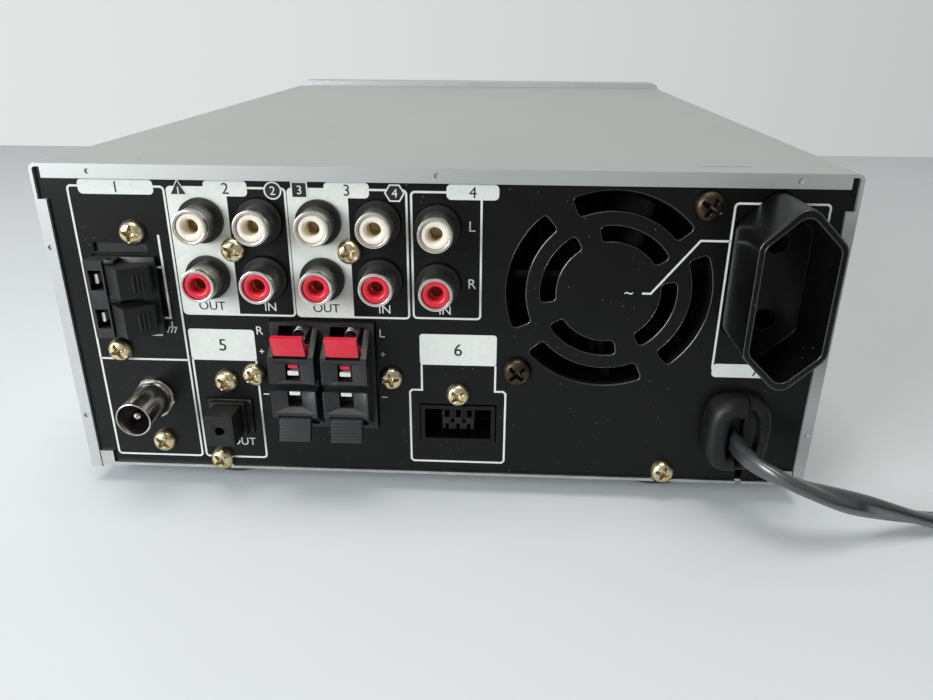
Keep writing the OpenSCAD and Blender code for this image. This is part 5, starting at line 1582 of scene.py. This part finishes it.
@dataclass
class RearSockets:
    """Line jacks, aerial connector, wire contacts, springs, comb and tab ribs as worked-out shapes.

    A blade is its height above the middle of its terminal and its span off the panel.
    """

    model: Model
    columns: tuple[float, ...] = (56.0, 42.0, 28.0, 14.0, 0.0)
    drops: tuple[float, ...] = (0.0, 0.0, 0.0, 0.0, 0.85)
    red_height: float = 53.7
    white_height: float = 67.7
    shell_radius: float = 4.15
    shell_out: float = 8.0
    insert_back: float = 0.5
    coax: Pair = (74.5, 20.5)
    coax_radius: float = 4.4
    coax_wall: float = 0.45
    coax_out: float = 13.0
    pin_out: float = 11.4
    flange_radius: float = 5.5
    flange_half: float = 5.0
    flange_turn: float = 35.0
    wire_slots: tuple[Pair, ...] = ((82.2, 53.7), (82.2, 43.9))
    speaker_columns: tuple[tuple[str, float], ...] = (("left", 35.35), ("right", 22.45))
    speaker_height: float = 28.3
    tab_foot: Pair = (8.7, 8.6)
    tab_tip: Pair = (10.7, 13.8)
    tab_half: float = 3.5
    tab_ribs: int = 7
    blades: tuple[tuple[float, Pair], ...] = (
        (3.2, (3.9, 6.9)), (2.65, (-2.0, 4.3)), (-2.2, (-2.0, 6.9)),
    )
    tongue_height: float = 4.88
    socket_roof: Pair = (-4.8, 19.35)
    comb: tuple[CombRow, ...] = (
        CombRow(((-4.2, -1.9), (-1.05, 1.05), (1.9, 4.2)), (-5.4, -3.5), -1.9),
        CombRow(((-4.2, -3.15), (-2.3, -0.35), (0.5, 2.6), (3.3, 4.2)), (-7.25, -5.2), -2.3),
    )
    comb_back: float = -9.0
    comb_edge: float = 0.15
    spring_curls: int = 5
    spring_wire: float = 0.2
    spring_anchor: float = 127.2
    spring_keep: float = 0.85

    def places(self, height: float) -> list[np.ndarray]:
        """Return the middles of one row of jacks on the panel face."""
        return [self.model.spot(x, height - drop) for x, drop in zip(self.columns, self.drops)]

    def shells(self) -> None:
        """Drawn shells: a thin tube with a rolled lip, pressed straight into its block."""
        r = self.shell_radius
        out = self.shell_out
        profile = [
            (r - 0.85, 0.9), (r - 0.85, out - 0.35), (r - 0.76, out - 0.1), (r - 0.5, out),
            (r - 0.12, out - 0.1), (r, out - 0.4), (r, out - 1.6), (r - 0.05, out - 1.8),
            (r - 0.05, 0.9),
        ]
        both = self.places(self.red_height) + self.places(self.white_height)
        shells = [hoop(profile, place) for place in both]
        make_piece("jack_shells", shells, NICKEL, replaces=("line_jack_shells",))
        top = out - self.insert_back
        sleeve = [
            (1.68, top - 5.9), (1.68, top - 2.7), (1.56, top - 2.6), (1.45, top - 2.7), (1.45, top - 5.9),
        ]
        make_piece("jack_contacts", [hoop(sleeve, place, 32) for place in both], BRASS)

    def inserts(self) -> None:
        """Moulded inserts: a rounded collar round the hole of the centre pin."""
        r = self.shell_radius - 0.88
        top = self.shell_out - self.insert_back
        profile = [
            (0.0, 0.9), (r, 0.9), (r, top - 0.35), (r - 0.1, top - 0.1), (r - 0.3, top), (2.4, top),
            (2.15, top - 0.08), (1.9, top - 0.35), (1.7, top - 0.9), (1.7, top - 6.0), (0.0, top - 6.0),
        ]
        for name, height, finish, node in (
            ("ivory_inserts", self.white_height, IVORY_PLASTIC, "white_inserts"),
            ("red_inserts_moulded", self.red_height, RED_PLASTIC, "red_inserts"),
        ):
            patches = [lathe(profile, place, Axis.Y) for place in self.places(height)]
            make_piece(name, patches, finish, replaces=(node,))

    def aerial(self) -> None:
        """Aerial connector: a thin tube with a rolled lip, a flange with two flats, a round-nosed pin."""
        centre = self.model.spot(*self.coax)
        r = self.coax_radius
        inner = r - self.coax_wall
        out = self.coax_out
        tube = [
            (inner, 1.3), (inner, out - 0.2), (inner + 0.08, out - 0.05), (r - 0.16, out),
            (r - 0.04, out - 0.06), (r, out - 0.2), (r, 2.2), (r + 0.15, 1.7), (r + 0.4, 1.4),
            (r + 0.4, 0.6), (inner, 0.6),
        ]
        pin = [
            (0.0, 1.0), (1.0, 1.0), (1.0, self.pin_out - 1.0), (0.93, self.pin_out - 0.6),
            (0.72, self.pin_out - 0.25), (0.4, self.pin_out - 0.05), (0.0, self.pin_out),
        ]
        angle = circle(96)
        reach = self.flange_half / np.maximum(np.abs(np.cos(angle - math.radians(self.flange_turn))), 1e-3)
        rim = np.minimum(reach, self.flange_radius)[:, None] * spokes(angle)
        flange = loft([rim * 0.97, rim, rim, rim * 0.95], [-0.8, -0.7, 0.9, 1.2], centre, Axis.Y)
        patches = [hoop(tube, centre, 72), lathe(pin, centre, Axis.Y, 32), flange]
        make_piece("aerial_connector", patches, CHROME, replaces=("coax_connector",))

    def wire_contacts(self) -> None:
        """Bright strips in the wire slots of both terminals, and the red levers' tongues over them."""
        spot = self.model.spot
        strips = [
            pillow((0.9, 2.4), 0.2, (-4.7, 3.6), 0.1, spot(x, h), Axis.Y) for x, h in self.wire_slots
        ]
        make_piece("antenna_contacts", strips, TINNED_STRIP)
        blades = [
            pillow((2.8, 1.2), 0.2, span, 0.15, spot(x, self.speaker_height + z), Axis.Y)
            for _, x in self.speaker_columns
            for z, span in self.blades
        ]
        make_piece("speaker_blades", blades, TINNED_STRIP, replaces=("terminal_contacts",))
        for side, x in self.speaker_columns:
            place = spot(x, self.speaker_height + self.tongue_height)
            tongue = pillow((2.6, 0.9), 0.3, (2.4, 6.6), 0.2, place, Axis.Y)
            make_piece(f"{side}_red_tongue", [tongue], RED_PLASTIC, body=f"{side}_red_lever")

    def springs(self) -> None:
        """Wound springs behind the red tabs, made at rest: pressing a tab does not shorten them here."""
        for side, _ in self.speaker_columns:
            low, high = self.model.box(f"{side}_lever_spring")
            middle = self.model.middle(f"{side}_lever_spring")
            span = (low[1] + self.spring_wire, high[1] - self.spring_wire)
            radius = (high[0] - low[0]) / 2 - self.spring_wire
            coil = helix(radius, self.spring_wire, self.spring_curls, span, (middle[0], middle[2]))
            piece = make_piece(
                f"{side}_wound_spring", [coil], SPRING_STEEL, replaces=(f"{side}_lever_spring",), sharp=60.0
            )
            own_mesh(piece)

    def socket_comb(self) -> None:
        """Keyed comb of the system socket: three blocks under its tongue, and four fingers under those."""
        x, roof = self.socket_roof
        parts = [
            pillow(
                (end - start, row.heights[1] - row.heights[0]),
                self.comb_edge,
                (self.comb_back, row.front),
                self.comb_edge,
                self.model.spot(x + (start + end) / 2, roof + sum(row.heights) / 2),
                Axis.Y,
            )
            for row in self.comb
            for start, end in row.teeth
        ]
        make_piece("socket_comb", parts, BLACK_PLASTIC)

    def tab_grips(self) -> None:
        """Fine ribs across the faces of the speaker tabs, spaced evenly from foot to tip."""
        share = (np.arange(self.tab_ribs) + 0.6) / self.tab_ribs
        foot = np.array(self.tab_foot)
        line = foot + share[:, None] * (np.array(self.tab_tip) - foot)
        for side, x in self.speaker_columns:
            for colour, finish, way, proud in (
                ("red", RED_PLASTIC, 1, 0.1),
                ("black", TERMINAL_PLASTIC, -1, 0.2),
            ):
                ribs = [
                    pillow(
                        (2 * proud, 2 * proud),
                        proud,
                        (x - self.tab_half, x + self.tab_half),
                        proud / 2,
                        self.model.spot(0.0, self.speaker_height + way * z, y),
                        Axis.X,
                    )
                    for y, z in line
                ]
                make_piece(f"{side}_{colour}_ribs", ribs, finish, body=f"{side}_{colour}_lever")

    def build(self) -> None:
        """Make the jacks and the connectors beside them."""
        self.shells()
        self.inserts()
        self.aerial()
        self.wire_contacts()
        self.springs()
        self.socket_comb()
        self.tab_grips()


@dataclass
class Bushing:
    """Two-part cord bushing: a rounded front half and a set-back half with a recess beside the lead."""

    model: Model
    middle: Pair = (-75.4, 16.1)
    size: Pair = (16.5, 20.0)
    slot: Pair = (4.6, 11.6)
    slot_shift: Pair = (0.7, -0.2)
    slot_power: float = 6.0
    rim_power: float = 3.2
    neck: Pair = (13.5, 17.0)
    neck_corner: float = 6.0
    neck_back: float = -6.8
    split_top: float = 98.0
    split_foot: float = -90.0
    seam: float = 1.3
    front: tuple[Pair, ...] = (
        (0.0, 0.0), (0.0, 5.2), (0.04, 5.8), (0.12, 6.25), (0.26, 6.48), (0.44, 6.5), (0.62, 6.4),
        (0.78, 6.0), (0.9, 5.2), (0.97, 4.2), (1.0, 3.0), (1.0, 0.0),
    )
    behind: tuple[Pair, ...] = (
        (0.0, 0.0), (0.0, 2.3), (0.05, 2.5), (0.42, 2.5), (0.46, 2.8), (0.48, 4.5), (0.54, 5.1),
        (0.66, 5.4), (0.8, 5.1), (0.92, 4.2), (1.0, 2.8), (1.0, 0.0),
    )

    @staticmethod
    def superellipse(angle: np.ndarray, size: Pair, power: float) -> np.ndarray:
        """Outline whose powered shares of the half width and half height add up to one.

        Args:
            angle: Angles in radians.
            size: Full width and height.
            power: Two for an ellipse, and more for squarer corners.

        Returns:
            Points of X and height.
        """
        across = np.abs(np.cos(angle)) / (size[0] / 2)
        over = np.abs(np.sin(angle)) / (size[1] / 2)
        radius = (across**power + over**power) ** (-1 / power)
        return radius[:, None] * spokes(angle)

    def half(self, start: float, end: float, profile: tuple[Pair, ...]) -> Patch:
        """Carry a profile round part of the outline, from the slot's edge to the outer edge.

        Args:
            start: First angle in degrees.
            end: Last angle in degrees.
            profile: Share of the way from the slot to the outer edge, and height off the panel.

        Returns:
            The closed patch of one half.
        """
        angle = np.radians(np.linspace(start, end, 64))
        inner = self.superellipse(angle, self.slot, self.slot_power) + np.array(self.slot_shift)
        outer = self.superellipse(angle, self.size, self.rim_power)
        line = np.array(profile)
        flat = inner[:, None, :] + line[None, :, :1] * (outer - inner)[:, None, :]
        high = np.broadcast_to(line[None, :, 1:], (*flat.shape[:2], 1))
        grid = upright(np.concatenate([flat, high], axis=-1), Axis.Y)
        return skin(grid + self.model.spot(*self.middle))

    def build(self) -> None:
        """Make both halves and the neck that goes through the panel."""
        near = self.half(self.split_foot + self.seam, self.split_top - self.seam, self.front)
        far = self.half(self.split_top + self.seam, 360 + self.split_foot - self.seam, self.behind)
        place = self.model.spot(*self.middle)
        neck = pillow(self.neck, self.neck_corner, (self.neck_back, 0.5), 0.3, place, Axis.Y)
        parts = [near, far, neck]
        make_piece("cord_bushing", parts, BLACK_PLASTIC, replaces=("strain_relief",), sharp=50.0)


@dataclass
class OutletLip:
    """Polished rounded lip round the mouth of the mains outlet, an upright hexagon with rounded corners."""

    model: Model
    middle: Pair = (-77.5, 56.1)
    size: Pair = (18.3, 40.8)
    side: float = 22.5
    corner: float = 3.2
    wall: float = 1.4
    proud: float = 0.35
    flatness: float = 0.45
    edge: float = 0.16
    lap: float = 0.03
    skirt: float = 1.0

    def outline(self, inset: float) -> np.ndarray:
        """Return the hexagon pulled in by an inset: six arcs whose normals follow on from each other.

        Args:
            inset: How far inside the outer edge.

        Returns:
            Points of X and height about the middle.
        """
        r = self.corner - inset / 2
        half = self.size[0] / 2 - inset - r
        top = self.size[1] / 2 - inset * math.sqrt(2) - r
        side = self.side / 2 - inset / 4
        lean = math.atan2(half, top - side)
        half_turn = [0, lean, math.pi - lean]
        stops = np.array([*half_turn, *(math.pi + stop for stop in half_turn), 2 * math.pi])
        turn = stops[:-1, None] + np.linspace(0, 1, 9) * np.diff(stops)[:, None]
        signs = np.array([(1, 1, 0), (0, 0, 1), (-1, 1, 0), (-1, -1, 0), (0, 0, -1), (1, -1, 0)])
        knots = np.column_stack([signs[:, 0] * half, signs[:, 1] * side + signs[:, 2] * top])
        return (knots[:, None, :] + r * spokes(turn)).reshape(-1, 2)

    def build(self) -> None:
        """Carry a flattened half round over the rim, with a skirt on both faces of the wall."""
        bow = np.linspace(0, math.pi, 13)
        inset = self.wall / 2 + (self.wall / 2 + self.lap) * np.cos(bow)
        inset = np.concatenate([inset[:1], inset, inset[-1:]])
        high = np.concatenate([[-self.skirt], self.proud * np.sin(bow) ** self.flatness, [-self.skirt]])
        lines = [self.outline(i) for i in inset]
        rows = [np.column_stack([line, np.full(len(line), h)]) for line, h in zip(lines, high)]
        mouth = self.model.box("outlet_body")[1][1]
        place = np.array([self.middle[0], mouth, self.model.level(self.middle[1])])
        ring = skin(upright(np.stack(rows), Axis.Y) + place, closed_rows=True, caps=False)
        make_piece("outlet_lip", [ring], GLOSS_PLASTIC)
        # Glossy beads on both edges of the lip: painted highlight lines along its rounding.
        edges = [
            bead_round(self.outline(inset), self.edge, self.proud - self.edge, place)
            for inset in (self.edge, self.wall - self.edge)
        ]
        make_piece("outlet_lip_highlight_edges", edges, HIGHLIGHT_EDGE)


@dataclass
class FanGrille:
    """Painted highlights on the fan's slots: a thin glossy bead round each slot of the rear panel."""

    model: Model
    middle: Pair = (-40.8, 51.7)
    slots: tuple[tuple[float, float, float, float], ...] = (
        (19.6, 24.6, 66.0, 74.0), (12.4, 16.4, 79.0, 69.0),
    )
    corner: float = 1.2
    bead: float = 0.26
    least: float = 0.25
    sunk: float = 0.6
    steps: int = 160

    def outline(self, near: float, far: float, start: float, span: float) -> np.ndarray:
        """Bend a rounded rectangle into part of a ring.

        Args:
            near: Inner radius.
            far: Outer radius.
            start: First angle in degrees.
            span: Angle that the slot covers in degrees.

        Returns:
            Evenly spaced points about the fan's middle.
        """
        mid = (near + far) / 2
        flat = rounded_outline(math.radians(span) * mid, far - near, self.corner, 9)
        loop = np.vstack([flat, flat[:1]])
        run = np.concatenate([[0.0], np.cumsum(np.linalg.norm(np.diff(loop, axis=0), axis=1))])
        at = np.linspace(0, run[-1], self.steps, endpoint=False)
        angle = math.radians(start + span / 2) + np.interp(at, run, loop[:, 0]) / mid
        radius = mid + np.interp(at, run, loop[:, 1])
        return radius[:, None] * spokes(angle)

    def ring(self, outline: np.ndarray) -> Patch:
        """Lay a bead round an outline on the panel face, widest on the edges that look to +X, towards the
        window lamp, so that the highlight lines fall on the lit side.
        """
        bead = self.bead * (self.least + (1 - self.least) * side_of(outline)[:, :1].clip(0, 1))
        return bead_round(outline, bead, -self.sunk * bead, self.model.spot(*self.middle))

    def build(self) -> None:
        """Make the beads of both rings of slots."""
        rings = [
            self.ring(self.outline(near, far, start + 90 * quarter, span))
            for near, far, start, span in self.slots
            for quarter in range(4)
        ]
        make_piece("slot_highlight_edges", rings, HIGHLIGHT_EDGE, sharp=60.0)


@dataclass(frozen=True)
class PanHead:
    """A cross-recessed screw: radius and height of its head, radius and length of its shank."""

    radius: float
    height: float
    shank: float
    length: float
    reach: float = 0.66
    wing: float = 0.19
    depth: float = 0.85
    taper: float = 0.45
    bank: float = 0.06
    ramp: float = 0.12

    def wings(self, out: np.ndarray, beside: np.ndarray) -> np.ndarray:
        """Return how deep one pair of wings is: one in its bed, nought outside, sloped between.

        Args:
            out: Distance along the wings, as a share of the head's radius.
            beside: Distance beside their middle line, as the same share.

        Returns:
            The depth, nought to one.
        """
        width = self.wing * (1 - self.taper * out / self.reach)
        side = ((width - beside) / self.bank).clip(0, 1)
        end = ((self.reach - out) / self.ramp).clip(0, 1)
        return side * end

    def patch(self, turn: float, centre: Triple, axis: Axis = Axis.Y, outward: int = 1) -> Patch:
        """Turn the dome and press the cross into it.

        The dome's height goes with the root of one less the fourth power of the radius share. The cross
        is two pairs of wings that narrow outwards and rise towards their ends.

        Args:
            turn: Angle of the cross in degrees.
            centre: Middle of the head's seat.
            axis: Axis of the screw.
            outward: Sign of the way that the head faces along the axis.

        Returns:
            The closed patch.
        """
        angle = circle(96)
        share = np.sin(np.linspace(0, math.pi / 2, 26))[:, None]
        across = np.abs(share * np.cos(angle - math.radians(turn)))
        over = np.abs(share * np.sin(angle - math.radians(turn)))
        cross = np.maximum(self.wings(across, over), self.wings(over, across))
        fall = (1 - self.taper * share / self.reach).clip(self.taper)
        high = self.height * (np.sqrt(1 - share**4) - self.depth * fall * cross)
        under = np.array([(self.shank, 0.0), (self.shank, -self.length), (0.0, -self.length)])
        radius = np.concatenate([self.radius * share, under[:, :1]])
        along = np.concatenate([high, np.repeat(under[:, 1:], len(angle), axis=1)])
        grid = np.concatenate([radius[..., None] * spokes(angle), outward * along[..., None]], axis=-1)
        return skin(upright(grid, axis) + np.array(centre), caps=False)


@dataclass
class Screws:
    """Yellow panel screws, brown fan screws and brown cover screws, with their crosses at odd angles."""

    model: Model
    panel: PanHead = PanHead(3.1, 2.3, 1.3, 5.0)
    fan: PanHead = PanHead(3.75, 2.4, 1.9, 11.0)
    cover: PanHead = PanHead(3.0, 2.0, 1.4, 3.0)
    panel_spots: tuple[Triple, ...] = (
        (73.1, 64.4, 12), (81.2, 34.0, 65), (73.6, 7.9, 40), (49.0, 60.7, 25), (21.0, 60.7, 70),
        (54.8, 25.9, 35), (47.3, 27.9, 55), (12.1, 27.9, 82), (-4.8, 23.7, 45), (58.5, 2.9, 48),
        (-58.5, 2.9, 18),
    )
    fan_spots: tuple[Triple, ...] = ((-62.0, 72.9, 30), (-19.6, 30.5, 45))
    cover_ends: tuple[float, ...] = (-93.1, 100.2)
    cover_height: float = 5.0
    cover_turn: float = 20.0

    def build(self) -> None:
        """Make the yellow screws and the brown ones."""
        spot = self.model.spot
        yellow = [self.panel.patch(turn, spot(x, h)) for x, h, turn in self.panel_spots]
        make_piece("panel_screws", yellow, YELLOW_ZINC, replaces=("rear_screws",), sharp=30.0)
        brown = [self.fan.patch(turn, spot(x, h)) for x, h, turn in self.fan_spots]
        low, high = self.model.box("top_cover")
        level = self.model.level(self.cover_height)
        brown += [
            self.cover.patch(self.cover_turn + end, (edge, end, level), Axis.X, way)
            for edge, way in ((low[0], -1), (high[0], 1))
            for end in self.cover_ends
        ]
        make_piece("brown_screws", brown, BROWN_STEEL_AND_SHADE, replaces=("dark_screws",), sharp=30.0)


@dataclass
class Softened:
    """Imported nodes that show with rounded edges, row by row."""

    model: Model
    rows: tuple[Rounding, ...] = ()

    def build(self) -> None:
        """Round the edges of every node and dress it."""
        for row in self.rows:
            for name in row.names:
                self.model.soften(name, row)


@dataclass
class Case(Softened):
    """Cover, chassis, panels and feet."""

    rows: tuple[Rounding, ...] = (
        Rounding(COVER_PAINT, 0.3, 3, ("top_cover",), 10.0),
        Rounding(PLATED_STEEL, 0.15, 2, ("chassis_base",), 10.0),
        Rounding(BLACK_PAINT, 0.25, 2, ("rear_panel",)),
        Rounding(FRONT_PLASTIC, 0.5, 3, ("front_panel",)),
        Rounding(SMOKED_WINDOW, 0.3, 2, ("display_window",)),
        Rounding(FOOT_RUBBER, 0.8, 3, ("feet",)),
    )


@dataclass
class Mouldings(Softened):
    """Moulded terminals, sockets, fan, knob and keys."""

    rows: tuple[Rounding, ...] = (
        Rounding(BLACK_PLASTIC, 0.2, 2, ("line_jack_blocks",)),
        Rounding(TERMINAL_PLASTIC, 0.2, 2, ("antenna_terminal",)),
        Rounding(BLACK_PLASTIC, 0.2, 2, ("upper_antenna_lever", "lower_antenna_lever", "optical_jack")),
        Rounding(BLACK_PLASTIC, 0.35, 2, ("dust_cap",)),
        Rounding(TERMINAL_PLASTIC, 0.25, 2, ("speaker_terminal",)),
        Rounding(RED_PLASTIC, 0.35, 3, ("left_red_lever",)),
        Rounding(TERMINAL_PLASTIC, 0.2, 2, ("left_black_lever",)),
        Rounding(RED_PLASTIC, 0.35, 3, ("right_red_lever",)),
        Rounding(TERMINAL_PLASTIC, 0.2, 2, ("right_black_lever",)),
        Rounding(GLOSS_PLASTIC, 0.15, 2, ("system_socket",)),
        Rounding(GLOSS_PLASTIC, 0.4, 2, ("outlet_body",)),
        # The fan's frame and rotor are darkened as painted shade behind the slots.
        Rounding(FAN_SHADED_NYLON, 0.4, 2, ("fan_frame",)),
        Rounding(FAN_SHADED_NYLON, 0.15, 2, ("fan_rotor",)),
        Rounding(KNOB_METAL, 0.2, 2, ("volume_knob",)),
        Rounding(
            KNOB_METAL, 0.3, 3,
            ("power_button", "eject_button", "play_button", "stop_button", "source_button"),
        ),
        Rounding(BLACK_PLASTIC, 0.15, 2, ("headphone_jack",)),
    )


@dataclass
class FrontMarks:
    """Plain control signs printed on the front keys and on the knob."""

    model: Model
    coat: float = 0.04

    def slab(self, node: str, points: list[Pair] | np.ndarray) -> Patch:
        """Lay a thin slab of ink on the front face of a node, its outline about the node's middle.

        Args:
            node: The node.
            points: Points of X and height.

        Returns:
            The slab.
        """
        outline = np.array(points, float)
        face = self.model.box(node)[0][1]
        middle = self.model.middle(node)
        ends = [face - self.coat, face + self.coat]
        return loft([outline, outline], ends, (middle[0], 0.0, middle[2]), Axis.Y)

    @staticmethod
    def arc(radius: float, width: float, start: float, end: float) -> np.ndarray:
        """Return the outline of part of a ring between two angles in degrees."""
        rays = spokes(np.radians(np.linspace(start, end, 40)))
        return np.vstack([(radius + width / 2) * rays, ((radius - width / 2) * rays)[::-1]])

    def build(self) -> None:
        """Print the signs: play, stop, eject, source, power and the knob's pointer."""
        bar = [(-0.3, 0.4), (0.3, 0.4), (0.3, 3.0), (-0.3, 3.0)]
        signs = {
            "play": [[(-1.2, -1.5), (1.6, 0.0), (-1.2, 1.5)]],
            "stop": [[(-1.2, -1.2), (1.2, -1.2), (1.2, 1.2), (-1.2, 1.2)]],
            "eject": [
                [(-1.6, -0.5), (1.6, -0.5), (0.0, 1.5)],
                [(-1.6, -1.5), (1.6, -1.5), (1.6, -0.95), (-1.6, -0.95)],
            ],
            "source": [self.arc(1.3, 0.5, 20.0, 340.0)],
            "power": [self.arc(2.4, 0.55, 120.0, 420.0), bar],
        }
        for key, outlines in signs.items():
            node = f"{key}_button"
            patches = [self.slab(node, outline) for outline in outlines]
            make_piece(f"{key}_sign", patches, DARK_INK, body=self.model.body_of[node])
        pointer = [(-0.4, 9.0), (0.4, 9.0), (0.4, 14.5), (-0.4, 14.5)]
        patches = [self.slab("volume_knob", pointer)]
        make_piece("knob_pointer", patches, DARK_INK, body=self.model.body_of["volume_knob"])


@dataclass
class Inside:
    """Boards, drive and power parts inside the case."""

    model: Model
    finishes: tuple[tuple[Finish, tuple[str, ...]], ...] = (
        (CIRCUIT_BOARD, ("front_board", "main_board")),
        (PLATED_STEEL, ("tuner_pack", "sled_rails", "clamp_bridge")),
        (WHITE_PLASTIC, ("sled_gear", "tray_gear")),
        (PHENOLIC, ("coax_insulator",)),
        # The outlet's brass contacts take dark brown steel: painted shade of the holes they sit in.
        (BROWN_STEEL_AND_SHADE, ("outlet_contacts",)),
        (FRONT_PLASTIC, ("tray_lid",)),
        (FIN_ALUMINIUM, ("heat_sink",)),
        (IRON_CORE, ("power_transformer",)),
        (GREY_PLASTIC, ("cd_deck", "tray", "turntable", "disc_clamp", "pickup_sled")),
        (MOTOR_STEEL, ("deck_motors",)),
    )

    def build(self) -> None:
        """Dress every inner node in its real material, but the outlet's contacts in dark brown steel as
        painted shade.
        """
        for finish, names in self.finishes:
            for name in names:
                self.model.dress(name, finish)


def main() -> None:
    """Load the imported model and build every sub-assembly."""
    logging.basicConfig(level=logging.INFO, format="%(name)s %(message)s")
    model = Model.load()
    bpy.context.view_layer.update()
    Stage().build()
    Lead().build()
    parts = (
        Case, Screws, PanelPrint, RearSockets, Bushing, OutletLip, FanGrille, Mouldings, FrontMarks, Inside,
    )
    for part in parts:
        part(model).build()


if __name__ == "__main__":
    main()
